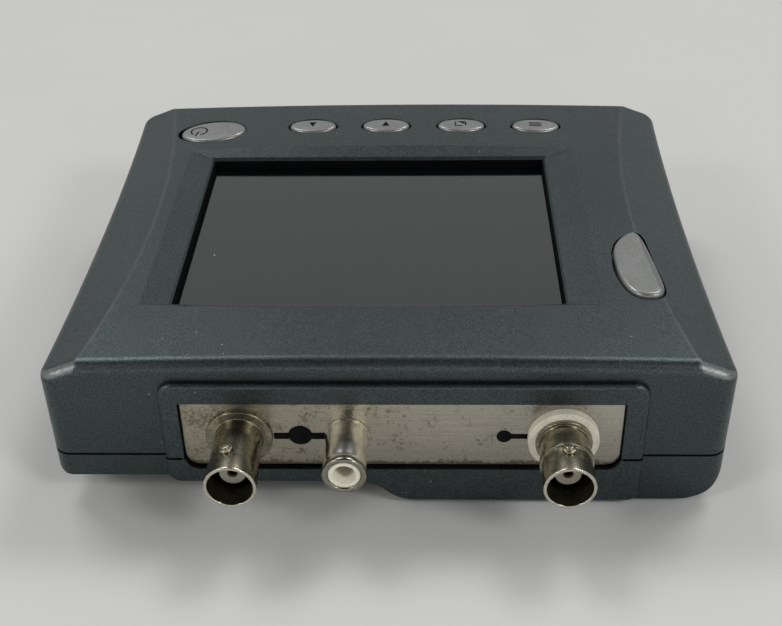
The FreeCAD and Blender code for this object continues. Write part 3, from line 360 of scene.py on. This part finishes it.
MAKERS = {
    "case_plastic": case_paint,
    "button_silver": silver_paint,
    "screen_glass": screen_glass,
    "aged_nickel": aged_nickel,
    "plate_nickel": plate_metal,
    "white_plastic": lambda n: plain_plastic(n, (226, 222, 206), 0.42, spread=0.05),
    "black_plastic": lambda n: plain_plastic(n, (30, 31, 32), 0.5),
    "black_rubber": lambda n: plain_plastic(n, (26, 26, 26), 0.75, 1500, 0.00006),
    "board_green": board_resist,
    "tin_plate": lambda n: plain_metal(n, (196, 196, 192), 0.3),
    "copper_alloy": lambda n: plain_metal(n, (176, 140, 78), 0.28),
    "screw_steel": lambda n: plain_metal(n, (92, 92, 96), 0.35),
    "ribbon_film": lambda n: plain_plastic(n, (214, 212, 204), 0.4),
    "amber_film": lambda n: plain_plastic(n, (168, 104, 24), 0.3),
    "panel_glass": lambda n: plain_plastic(n, (18, 19, 22), 0.12, 900, 0.000005),
    "light_guide": lambda n: plain_plastic(n, (222, 222, 216), 0.5),
    "cell_wrap": lambda n: plain_plastic(n, (28, 112, 60), 0.3, 1200, 0.00002),
    "paper_cone": lambda n: plain_plastic(n, (44, 42, 40), 0.85, 1400, 0.0001),
    "foam": lambda n: plain_plastic(n, (52, 52, 54), 0.95, 2200, 0.0002),
    "wire_red": lambda n: plain_plastic(n, (168, 26, 22), 0.4),
    "ferrite": lambda n: plain_plastic(n, (46, 46, 48), 0.7, 1600, 0.00005),
}
materials = {slot: maker(slot) for slot, maker in MAKERS.items()}
bright_nickel = aged_nickel("bright_nickel", (246, 243, 230), 0.5)
# Painted shade: a darker copy of the nickel for the RCA shell's rolled lip.
lip_shade_nickel = aged_nickel("lip_shade_nickel", (142, 139, 126), 0.6)
dark_brass = plain_metal("dark_brass", (66, 56, 38), 0.4)
old_white = plain_plastic("old_white", (178, 174, 158), 0.45, spread=0.06)
ink = dull(plain_plastic("ink", (11, 12, 14), 0.85, 1800, 0.000005, 0.25), 0.12)
well_black = dull(plain_plastic("well_black", (8, 9, 10), 0.9, 1800, 0.000005, 0.25), 0.05)
# Painted shade: a dark metal for the inside of the BNC bores.
bore_shade_metal = plain_metal("bore_shade_metal", (78, 74, 58), 0.5)
# Painted highlight: a lighter metal for the front faces of the BNC rims.
rim_highlight_nickel = plain_metal("rim_highlight_nickel", (206, 202, 188), 0.22)

for part in record["subparts"]:
    own = nodes[part["node"]].data.materials
    own.clear()
    own.append(materials[part["material_slot"]])


# ---------------------------------------------------------------- detailed pieces
def centre(node):
    low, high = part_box(node)
    return (low + high) / 2


def mouth(node):
    """Middle of a socket part's front end, and the part's length in millimetres."""
    low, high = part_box(node)
    middle = centre(node)
    return Vector((middle.x, low.y, middle.z)), (high.y - low.y) / MM


def piece(name, bm, slot, body="case", stands_for=(), sharp=32, material=None):
    """Turns a bmesh into a finished piece that rides on a body."""
    bmesh.ops.recalc_face_normals(bm, faces=bm.faces)
    mesh = bpy.data.meshes.new(name)
    bm.to_mesh(mesh)
    bm.free()
    mesh.polygons.foreach_set("use_smooth", [True] * len(mesh.polygons))
    mesh.set_sharp_from_angle(angle=math.radians(sharp))
    mesh.materials.append(material or materials[slot])
    obj = bpy.data.objects.new(name, mesh)
    bpy.context.scene.collection.objects.link(obj)
    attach(obj, body)
    if stands_for:
        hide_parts(*stands_for)
    return obj


def eased(points, steps=5):
    """A section with rounded corners, from (radius, along, size of the rounding)."""
    out = []
    for i, (radius, along, size) in enumerate(points):
        if size == 0 or i in (0, len(points) - 1):
            out.append((radius, along))
            continue
        here = Vector((radius, along))
        back = Vector(points[i - 1][:2]) - here
        ahead = Vector(points[i + 1][:2]) - here
        start = here + back.normalized() * min(size, back.length * 0.49)
        end = here + ahead.normalized() * min(size, ahead.length * 0.49)
        for k in range(steps + 1):
            t = k / steps
            point = start * (1 - t) ** 2 + here * 2 * t * (1 - t) + end * t * t
            out.append((point.x, point.y))
    return out


def turned(bm, origin, axis, section, segments=96):
    """Spins a section of (radius, distance along the axis), in millimetres, about an axis."""
    axis = Vector(axis).normalized()
    side = axis.orthogonal().normalized()
    other = axis.cross(side)
    rings = []
    for radius, along in section:
        middle = Vector(origin) + axis * along * MM
        if radius < 1e-5:
            rings.append([bm.verts.new(middle)])
            continue
        ring = []
        for i in range(segments):
            a = 2 * math.pi * i / segments
            ring.append(bm.verts.new(middle + (side * math.cos(a) + other * math.sin(a)) * radius * MM))
        rings.append(ring)
    stitch(bm, rings)


def stitch(bm, rings):
    """Joins rings of points one after another; a ring of one point is a tip."""
    for a, b in zip(rings, rings[1:]):
        count = max(len(a), len(b))
        for i in range(count):
            j = (i + 1) % count
            if len(a) == 1:
                bm.faces.new((a[0], b[i], b[j]))
            elif len(b) == 1:
                bm.faces.new((a[i], a[j], b[0]))
            else:
                bm.faces.new((a[i], a[j], b[j], b[i]))


def bnc_body(side, flange_r, seat, ring, lug_turn):
    """Bayonet shell: thin rolled rim, slimmer neck, flange against the panel, two stepped lugs."""
    node = side + "_bnc_body"
    rim, depth = mouth(node)
    section = [
        (0, 9.5, 0), (4.15, 9.5, 0), (4.15, 0.0, 0.3), (4.46, -0.0, 0.1), (4.8, 0.0, 0.3),
        (4.8, 3.8, 0.12), (4.6, 4.05, 0.1),
    ]
    if ring:
        section += [(4.6, 6.3, 0.1), (5.0, 6.35, 0.12), (5.0, 7.5, 0.12), (4.6, 7.55, 0.1)]
    section += [
        (4.6, seat - 0.8, 0.2), (flange_r, seat - 0.8, 0.22), (flange_r, seat, 0.1), (4.5, seat, 0),
        (4.5, depth, 0.2), (0, depth, 0),
    ]
    bm = bmesh.new()
    turned(bm, rim, (0, 1, 0), eased(section))
    lug = [(0, 3.9, 0), (1.25, 3.9, 0), (1.25, 5.35, 0.3), (0.8, 5.3, 0.1), (0.75, 5.75, 0.3), (0, 5.75, 0)]
    for turn in (lug_turn, lug_turn + 180):
        a = math.radians(turn)
        turned(bm, rim + Vector((0, 5.0 * MM, 0)), (math.sin(a), 0, math.cos(a)), eased(lug), 40)
    shell = piece(side + "_bnc_shell", bm, "aged_nickel", stands_for=[node])
    shell.data.materials.append(bore_shade_metal)
    shell.data.materials.append(rim_highlight_nickel)
    for face in shell.data.polygons:
        away = face.center - rim
        inside = math.hypot(away.x, away.z) < 4.3 * MM
        # Front faces of the rim take the lighter metal, a painted highlight.
        if away.y < 0.2 * MM:
            face.material_index = 2
        # The bore's inner wall takes the dark metal, painted shade.
        elif inside and away.y < 9.6 * MM:
            face.material_index = 1


def bnc_core(side):
    """White insulator with a shallow rounded face, and the slotted centre contact."""
    front, depth = mouth(side + "_bnc_insulator")
    bm = bmesh.new()
    core = [
        (0.95, depth, 0), (0.95, 0.1, 0), (1.1, 0.0, 0.15),
        (2.45, 0.0, 0.25), (2.45, depth, 0), (0.95, depth, 0),
    ]
    turned(bm, front, (0, 1, 0), eased(core), 64)
    bmesh.ops.remove_doubles(bm, verts=bm.verts, dist=1e-7)
    piece(side + "_bnc_core", bm, "white_plastic", stands_for=[side + "_bnc_insulator"], material=old_white)
    tip, length = mouth(side + "_bnc_contact")
    bm = bmesh.new()
    tube = [(0, 5, 0), (0.5, 5, 0), (0.5, 0.15, 0.1), (0.9, 0.0, 0.15), (0.9, length, 0), (0, length, 0)]
    turned(bm, Vector((front.x, tip.y, front.z)), (0, 1, 0), eased(tube), 40)
    piece(side + "_bnc_pin_socket", bm, "copper_alloy", stands_for=[side + "_bnc_contact"], material=dark_brass)


def rca_parts():
    """Smooth RCA shell with its rolled lip and a thin foot ring at the panel."""
    lip, length = mouth("rca_shell")
    seat = 11.2
    section = [
        (3.0, length, 0), (3.0, 1.0, 0.3), (3.0, 0.0, 0.57), (4.15, 0.0, 0.57), (4.15, 1.3, 0.5),
        (4.0, 1.8, 0.4), (4.04, 3.0, 0.4), (4.12, seat - 0.45, 0.05), (3.75, seat - 0.4, 0.05),
        (3.75, seat - 0.1, 0.05), (4.15, seat - 0.05, 0.03),
        (4.15, seat, 0.05), (3.5, seat, 0), (3.5, length, 0), (3.0, length, 0),
    ]
    bm = bmesh.new()
    turned(bm, lip, (0, 1, 0), eased(section, 8), 128)
    bmesh.ops.remove_doubles(bm, verts=bm.verts, dist=1e-7)
    barrel = piece("rca_barrel", bm, "aged_nickel", stands_for=["rca_shell"], material=bright_nickel)
    barrel.data.materials.append(lip_shade_nickel)
    for face in barrel.data.polygons:
        # The lip takes the darker nickel, painted shade.
        if face.center.y < lip.y + 1.0 * MM:
            face.material_index = 1


# -- keys
def ray_tree(mesh):
    points = [v.co.copy() for v in mesh.vertices]
    return BVHTree.FromPolygons(points, [tuple(p.vertices) for p in mesh.polygons])


def surface_of(mesh):
    """Height of a mesh's upper side at a point."""
    tree = ray_tree(mesh)

    def height(x, y):
        hit = tree.ray_cast(Vector((x, y, 0.2)), Vector((0, 0, -1)))[0]
        return hit.z if hit else None
    return height


def ellipse(x, y, rx, ry, turn, count=96):
    """Outline of an oval key, in metres."""
    c = math.cos(math.radians(turn))
    s = math.sin(math.radians(turn))
    out = []
    for i in range(count):
        a = 2 * math.pi * i / count
        u = rx * MM * math.cos(a)
        v = ry * MM * math.sin(a)
        out.append(Vector((x + u * c - v * s, y + u * s + v * c)))
    return out


def closed_curve(points, count=120):
    """Smooth closed outline through the points: a periodic cubic spline over their chord lengths."""
    n = len(points)
    gaps = [(points[(i + 1) % n] - points[i]).length for i in range(n)]
    table = np.zeros((n, n))
    right = np.zeros((n, 2))
    for i in range(n):
        before = gaps[i - 1]
        after = gaps[i]
        table[i, i - 1] += before
        table[i, i] += 2 * (before + after)
        table[i, (i + 1) % n] += after
        slopes = (points[(i + 1) % n] - points[i]) / after, (points[i] - points[i - 1]) / before
        right[i] = 6 * np.array(slopes[0] - slopes[1])
    bend = np.linalg.solve(table, right)
    total = sum(gaps)
    out = []
    for k in range(count):
        along = total * k / count
        i = 0
        while along > gaps[i]:
            along -= gaps[i]
            i += 1
        h = gaps[i]
        t = along / h
        a = np.array(points[i])
        b = np.array(points[(i + 1) % n])
        m0 = bend[i]
        m1 = bend[(i + 1) % n]
        value = a * (1 - t) + b * t + h * h / 6 * (((1 - t) ** 3 - (1 - t)) * m0 + (t ** 3 - t) * m1)
        out.append(Vector((float(value[0]), float(value[1]))))
    return out


def past_ridge(point):
    """Distance of a point outside the ridge between the case's top and its flank."""
    return abs(point.x) - RIDGE_BOW * (point.y - RIDGE_Y) ** 2 - RIDGE_X


def inward_of(outline):
    """An outline's middle, and the unit vector inward at each of its points."""
    n = len(outline)
    middle = sum(outline, Vector((0, 0))) / n
    inward = []
    for i in range(n):
        along = outline[(i + 1) % n] - outline[i - 1]
        normal = Vector((-along.y, along.x)).normalized()
        inward.append(normal if normal.dot(middle - outline[i]) > 0 else -normal)
    return middle, inward


def key_cap(node, outline, rim, dome, soften=0.0, play=0.0, fold=0.0):
    """Key cap over the CAD key's own top: rolled rim, slight dome, flange and stem below.

    soften averages the top over this distance, play draws the outline in, fold is the extra slope
    outside the case's ridge.
    """
    body = node.replace("button", "key")
    height = surface_of(nodes[node].data)
    low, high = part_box(node)
    n = len(outline)
    middle, inward = inward_of(outline)
    key_well(node, outline)
    outline = [p + d * play for p, d in zip(outline, inward)]

    def level(point):
        spots = [point]
        if soften > 0:
            spots += [point + Vector((soften, 0)), point - Vector((soften, 0))]
        found = [z for z in (height(p.x, p.y) for p in spots) if z is not None]
        folded = max(0.0, past_ridge(point)) * fold
        return (sum(found) / len(found) if found else high.z) - BELOW_TOP - folded

    # Heights along the edge are read this far inside, clear of the CAD key's own rounding.
    clear = 0.65
    safe = [level(p + d * clear * MM) for p, d in zip(outline, inward)]
    bm = bmesh.new()

    def ring(inset, heights):
        return [bm.verts.new((p.x + d.x * inset, p.y + d.y * inset, z))
                for p, d, z in zip(outline, inward, heights)]

    stem_at = stem_place(node)
    stem_r = 1.9 * MM
    stem_ring = [bm.verts.new((stem_at.x + stem_r * math.cos(a), stem_at.y + stem_r * math.sin(a), low.z))
                 for a in (math.atan2((p - middle).y, (p - middle).x) for p in outline)]
    stem_top = [bm.verts.new((v.co.x, v.co.y, FLANGE_LOW * MM)) for v in stem_ring]
    rings = [[bm.verts.new((stem_at.x, stem_at.y, low.z))], stem_ring, stem_top]
    flange = 1.05
    for inset, z in ((-flange, FLANGE_LOW), (-flange, FLANGE_HIGH), (0.0, FLANGE_HIGH)):
        rings.append(ring(inset * MM, [z * MM] * n))
    rim_steps = 8
    for k in range(rim_steps + 1):
        a = math.radians(90 * k / rim_steps)
        rings.append(ring(rim * (1 - math.cos(a)), [z - dome - rim * (1 - math.sin(a)) for z in safe]))
    edge = [Vector((v.co.x, v.co.y)) for v in rings[-1]]
    blend = 0.2
    for t in (0.05, 0.1, 0.15, 0.2, 0.25, 0.3, 0.36, 0.42, 0.48, 0.55, 0.62, 0.7, 0.78, 0.86, 0.93):
        ring_points = []
        for p, z_edge in zip(edge, safe):
            q = p.lerp(middle, t)
            z = level(q)
            if t < blend:
                z = z_edge * (1 - t / blend) + z * t / blend
            ring_points.append(bm.verts.new((q.x, q.y, z - dome * (1 - t) ** 2)))
        rings.append(ring_points)
    rings.append([bm.verts.new((middle.x, middle.y, level(middle)))])
    stitch(bm, rings)
    return piece(node.replace("button", "cap"), bm, "button_silver", body, [node], sharp=50)


def key_well(node, outline):
    """Dark wall of a key's hole, seen in the gap round the key."""
    height = surface_of(nodes[node].data)
    foot = 31.25 * MM
    case_top = 33 * MM
    sunk = (0.62 + key_proud(node)) * MM
    near, far = 0.31, 0.37
    bm = bmesh.new()
    rings = [[], [], [], []]
    for point, inward in zip(outline, inward_of(outline)[1]):
        inner = point + inward * 0.7 * MM
        top = (height(inner.x, inner.y) or case_top) - sunk
        for ring, (out, z) in zip(rings, ((far, foot), (far, top), (near, top), (near, foot))):
            spot = point - inward * out * MM
            ring.append(bm.verts.new((spot.x, spot.y, z)))
    stitch(bm, rings + [rings[0]])
    piece(node.replace("button", "well"), bm, "black_plastic", material=well_black)


def key_proud(node):
    """Millimetres by which a key stands out of the case."""
    return 0.9 if node == "side_button" else 0.45


def stem_place(node):
    """Where a key's stem is: the middle of its lowest points."""
    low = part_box(node)[0]
    foot = [v.co for v in nodes[node].data.vertices if v.co.z < low.z + 0.05 * MM]
    total = sum((Vector((c.x, c.y)) for c in foot), Vector((0, 0)))
    return total / len(foot)


def stroke(points, width):
    """A drawn line as four-cornered outlines, one for each stretch between two points."""
    left = []
    right = []
    for i, point in enumerate(points):
        ahead = points[min(i + 1, len(points) - 1)]
        behind = points[max(i - 1, 0)]
        along = (Vector(ahead) - Vector(behind)).normalized()
        across = Vector((-along.y, along.x)) * width / 2
        left.append(Vector(point) + across)
        right.append(Vector(point) - across)
    return [[left[i], left[i + 1], right[i + 1], right[i]] for i in range(len(points) - 1)]


def arc_points(radius, start, end, count=18):
    out = []
    for i in range(count + 1):
        a = math.radians(start + (end - start) * i / count)
        out.append((radius * math.cos(a), radius * math.sin(a)))
    return out


def printed(name, shapes, place, body="case", out=(0, 0, 1)):
    """Ink: outlines in millimetres, cut up finely, laid on a surface by place(u, v) and thickened."""
    thickness = 0.02 * MM
    bm = bmesh.new()
    for shape in shapes:
        bm.faces.new([bm.verts.new((u, v, 0)) for u, v in shape])
    bmesh.ops.remove_doubles(bm, verts=bm.verts, dist=1e-4)
    bmesh.ops.triangulate(bm, faces=bm.faces)
    for _ in range(2):
        bmesh.ops.subdivide_edges(bm, edges=bm.edges, cuts=1, use_grid_fill=True)
    for vert in bm.verts:
        vert.co = place(vert.co.x, vert.co.y)
    flat = list(bm.faces)
    bmesh.ops.recalc_face_normals(bm, faces=flat)
    grown = bmesh.ops.extrude_face_region(bm, geom=flat)
    moved = [g for g in grown["geom"] if isinstance(g, bmesh.types.BMVert)]
    bmesh.ops.translate(bm, verts=moved, vec=Vector(out) * thickness)
    piece(name, bm, "black_plastic", body, material=ink)


def on_key(cap, at, turn):
    """Places ink on a key cap, around a point, turned and lying just above its top."""
    height = surface_of(cap.data)
    proud = 0.012 * MM
    c = math.cos(math.radians(turn))
    s = math.sin(math.radians(turn))

    def place(u, v):
        x = at.x + (u * c - v * s) * MM
        y = at.y + (u * s + v * c) * MM
        return Vector((x, y, height(x, y) + proud))
    return place


def make_keys():
    caps = {}
    small = (5.65, 3.25, 0)
    for node, oval in (
        ("down_button", small), ("up_button", small), ("flip_button", small), ("menu_button", small),
        ("power_button", (7.8, 5.0, 10)),
    ):
        middle = centre(node)
        caps[node] = key_cap(node, ellipse(middle.x, middle.y, *oval), 0.75 * MM, 0.16 * MM)
    around = [
        (0.9, 12.3), (-2.6, 9.2), (-4.3, 1.6), (-3.7, -6.4),
        (-0.6, -11.4), (3.4, -11.1), (4.6, -5.6), (3.5, 5.2),
    ]
    at = Vector((49.6, -14.25)) * MM
    outline = closed_curve([at + Vector(p) * MM for p in around])
    key_cap("side_button", outline, 0.8 * MM, 0.0, soften=0.1 * MM, play=0.2 * MM, fold=0.24)

    triangle = [[(-0.9, 1.15), (0.9, 1.15), (0, -1.25)]]
    flipped = [[(u, -v) for u, v in reversed(triangle[0])]]
    frame_mark = stroke([(-1.1, 1.1), (-1.3, -1.1), (0.5, -1.1)], 0.32)
    frame_mark += stroke([(-0.5, 1.15), (1.2, 1.15), (1.3, -0.7)], 0.42)
    frame_mark.append([(-0.2, 0.9), (0.95, 0.95), (0.95, -0.2)])
    bars = []
    for v in (-0.75, 0.0, 0.75):
        bars += stroke([(-1.5, v), (1.5, v)], 0.34)
    power = stroke(arc_points(1.95, -62, 242), 0.36) + stroke([(0, -0.3), (0, -2.5)], 0.36)
    for node, name, shapes, shift, turn in (
        ("down_button", "down_mark", triangle, (-0.1, 0.2), 0),
        ("up_button", "up_mark", flipped, (-0.1, 0.2), 0),
        ("flip_button", "flip_mark", frame_mark, (-0.2, 0.15), 0),
        ("menu_button", "menu_mark", bars, (-0.1, 0.05), 0),
        ("power_button", "power_mark", power, (-3.5, -0.3), -14),
    ):
        middle = centre(node)
        at = Vector((middle.x + shift[0] * MM, middle.y + shift[1] * MM))
        printed(name, shapes, on_key(caps[node], at, turn), node.replace("button", "key"))


def make_sockets():
    bnc_body("left", 6.3, 14.3, False, -10)
    bnc_body("right", 5.3, 12.8, True, 0)
    bnc_core("left")
    bnc_core("right")
    rca_parts()


def make_plate_print():
    """Dots and bars that join the sockets on the panel."""
    face_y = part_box("connector_plate")[0].y

    def place(u, v):
        return Vector((u * MM, face_y - 0.005 * MM, v * MM))
    dot = arc_points(2.3, 0, 350, 35)
    small = arc_points(1.45, 0, 350, 35)
    left_x = centre("left_bnc_body").x / MM
    rca_x = centre("rca_shell").x / MM
    right_x = centre("right_bnc_body").x / MM
    dot_x, small_x = -16.3, 22.0
    shapes = [
        [(u + dot_x, v + 17.1) for u, v in dot],
        [(left_x + 6.5, 16.15), (-18.5, 16.1), (-18.5, 17.7), (left_x + 6.5, 17.65)],
        [(-14.1, 16.1), (rca_x - 4.0, 16.1), (rca_x - 4.0, 17.7), (-14.1, 17.7)],
        [(u + small_x, v + 16.9) for u, v in small],
        [(23.3, 16.3), (right_x - 6.5, 16.3), (right_x - 6.5, 17.5), (23.3, 17.5)],
    ]
    printed("plate_print", shapes, place, out=(0, -1, 0))


def make_window_liner():
    """Black band on the window's wall, from the lens up to the sloping frame."""
    x0, x1, y0, y1 = -42.7, 34.7, -25.95, 33.95
    bow = 1.0
    steps = 24
    along = [i / steps for i in range(steps + 1)]
    loop = [Vector((x0 + (x1 - x0) * t, y0 - bow * 4 * t * (1 - t))) for t in along]
    loop += [Vector((x1, y1)), Vector((x0, y1))]
    middle = Vector(((x0 + x1) / 2, (y0 + y1) / 2))
    lens_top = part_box("screen_lens")[1].z / MM

    def ring(bm, inset, z):
        out = []
        for p in loop:
            dx = inset if p.x < middle.x else -inset
            dy = inset if p.y < middle.y else -inset
            keep_x = 1.0 if abs(p.x - x0) < 0.01 or abs(p.x - x1) < 0.01 else 0.0
            out.append(bm.verts.new(((p.x + dx * keep_x) * MM, (p.y + dy) * MM, z * MM)))
        return out
    bm = bmesh.new()
    foot = lens_top + 0.02
    profile = ((0.03, foot), (0.03, 31.92), (0.09, 31.95), (0.15, 31.9), (0.15, foot))
    rings = [ring(bm, inset, z) for inset, z in profile]
    stitch(bm, rings + [rings[0]])
    piece("window_liner", bm, "black_plastic", material=well_black)


def make_seam():
    """Black strip in the gap between the two shells, painted shade, a hair proud of the wall but never past the
    CAD box.
    """
    tree = ray_tree(nodes["lower_shell"].data)
    middle = Vector((0, 7.35, SEAM_PROBE)) * MM
    plate_low, plate_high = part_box("connector_plate")
    beside = 0.5 * MM
    runs = [[]]
    steps = 1800
    for k in range(steps + 1):
        a = 2 * math.pi * k / steps - math.pi / 2
        way = Vector((math.cos(a), math.sin(a), 0))
        hit = tree.ray_cast(middle + way * 0.2, -way)[0]
        in_mouth = hit is None or (plate_low.x - beside < hit.x < plate_high.x + beside and hit.y < 0)
        if in_mouth:
            if runs[-1]:
                runs.append([])
            continue
        proud = hit + way * 0.03 * MM
        within = all(cad_box[0][i] < proud[i] < cad_box[1][i] for i in (0, 1))
        runs[-1].append(proud if within else hit - way * 0.07 * MM)
    bm = bmesh.new()
    for run in runs:
        if len(run) < 3:
            continue
        loops = []
        for spot in run:
            inner = spot + (middle - spot).normalized() * 0.4 * MM
            loops.append([bm.verts.new((at.x, at.y, z * MM)) for at, z in (
                (spot, SEAM_LOW), (spot, SEAM_HIGH), (inner, SEAM_HIGH), (inner, SEAM_LOW))])
        for a, b in zip(loops, loops[1:]):
            for i in range(4):
                j = (i + 1) % 4
                bm.faces.new((a[i], a[j], b[j], b[i]))
        bm.faces.new(loops[0])
        bm.faces.new(loops[-1])
    # The strip is painted shade: a black sheet where the gap between the shells lies in shade.
    piece("seam_shade_strip", bm, "black_plastic", material=well_black)


make_keys()
make_seam()
make_sockets()
make_plate_print()
make_window_liner()


# ---------------------------------------------------------------- floor, light and camera
def make_floor():
    mesh = bpy.data.meshes.new("floor")
    size = 3.0
    corners = [(-size, -size, 0), (size, -size, 0), (size, size, 0), (-size, size, 0)]
    mesh.from_pydata(corners, [], [(0, 1, 2, 3)])
    floor = bpy.data.objects.new("floor", mesh)
    bpy.context.scene.collection.objects.link(floor)
    p = Paint("floor_paint", roughness=0.9)
    p.shader.inputs["Specular IOR Level"].default_value = 0.15
    tone = p.ramp(p.noise(14, 4, 0.6), [(0.3, linear(203, 203, 200)), (0.7, linear(206, 206, 204))])
    floor.data.materials.append(p.done(tone, p.ramp(p.noise(60, 3), [(0.3, 0.85), (0.7, 0.95)])))


def area_light(name, place, target, size, power):
    data = bpy.data.lights.new(name, "AREA")
    data.shape = "RECTANGLE"
    data.size, data.size_y = size
    data.energy = power
    lamp = bpy.data.objects.new(name, data)
    lamp.location = place
    aim = Vector(target) - Vector(place)
    lamp.rotation_euler = aim.to_track_quat("-Z", "Y").to_euler()
    bpy.context.scene.collection.objects.link(lamp)


def make_light():
    """Bright low in front, dark overhead, faint sides; two lamps behind and two small ones in front."""
    world = bpy.data.worlds.new("studio")
    world.use_nodes = True
    w = Wiring(world.node_tree)
    sky = w.tree.nodes["Background"]
    way = w.add("ShaderNodeTexCoord").outputs["Generated"]
    squeezed = w.add("ShaderNodeVectorMath", operation="MULTIPLY")
    squeezed.inputs[1].default_value = (2.4, 1.0, 1.0)
    w.link(way, squeezed.inputs[0])
    unit = w.add("ShaderNodeVectorMath", operation="NORMALIZE")
    w.link(squeezed.outputs["Vector"], unit.inputs[0])
    toward = w.add("ShaderNodeVectorMath", operation="DOT_PRODUCT")
    toward.inputs[1].default_value = (0.0, -0.2, 0.98)
    w.link(unit.outputs["Vector"], toward.inputs[0])
    overhead = w.span(toward.outputs["Value"], (0.40, 0.51), (0.80, 0.04))
    at = w.split(way)
    low_front = w.span(at["Z"], (0.1, 2.5), (0.45, 0.7))
    near_side = w.span(at["Y"], (-0.9, low_front), (0.1, 1.0))
    sides = w.span(w.math("ABSOLUTE", at["X"]), (0.74, 0.0), (0.96, 0.15))
    total = w.math("ADD", w.math("MULTIPLY", overhead, near_side), sides)
    w.link(total, sky.inputs["Strength"])
    sky.inputs["Color"].default_value = (1.0, 1.0, 0.985, 1)
    bpy.context.scene.world = world
    area_light("left_lamp", (-1.5, 1.95, 3.55), (-0.03, 0, 0), (1.50, 1.15), 46.5)
    area_light("right_lamp", (1.55, 1.95, 3.55), (0.03, 0, 0), (1.45, 1.10), 49.5)
    area_light("left_window", (-0.66, -0.50, 0.62), (-0.05, -0.04, 0.03), (0.26, 0.20), 1.75)
    area_light("right_window", (0.62, -0.53, 0.65), (0.05, -0.04, 0.03), (0.26, 0.20), 2.5)


def make_camera():
    """Seen from the connector end, 35 degrees down."""
    data = bpy.data.cameras.new("camera")
    data.sensor_width = 36.0
    data.lens = 55.95
    data.clip_start = 0.01
    camera = bpy.data.objects.new("camera", data)
    pitch = math.radians(35.01)
    yaw = math.radians(-2.10)
    roll = math.radians(1.25)
    forward = Vector((math.sin(yaw) * math.cos(pitch), math.cos(yaw) * math.cos(pitch), -math.sin(pitch)))
    level = Vector((math.cos(yaw), -math.sin(yaw), 0))
    down = forward.cross(level)
    right = level * math.cos(roll) + down * math.sin(roll)
    down = down * math.cos(roll) - level * math.sin(roll)
    turn = Matrix((right, -down, -forward)).transposed()
    place = (0.00765, -0.22125, 0.1669)
    camera.matrix_world = Matrix.Translation(place) @ turn.to_4x4()
    bpy.context.scene.collection.objects.link(camera)
    bpy.context.scene.camera = camera


make_floor()
make_light()
make_camera()
bpy.context.scene.view_settings.view_transform = "Standard"
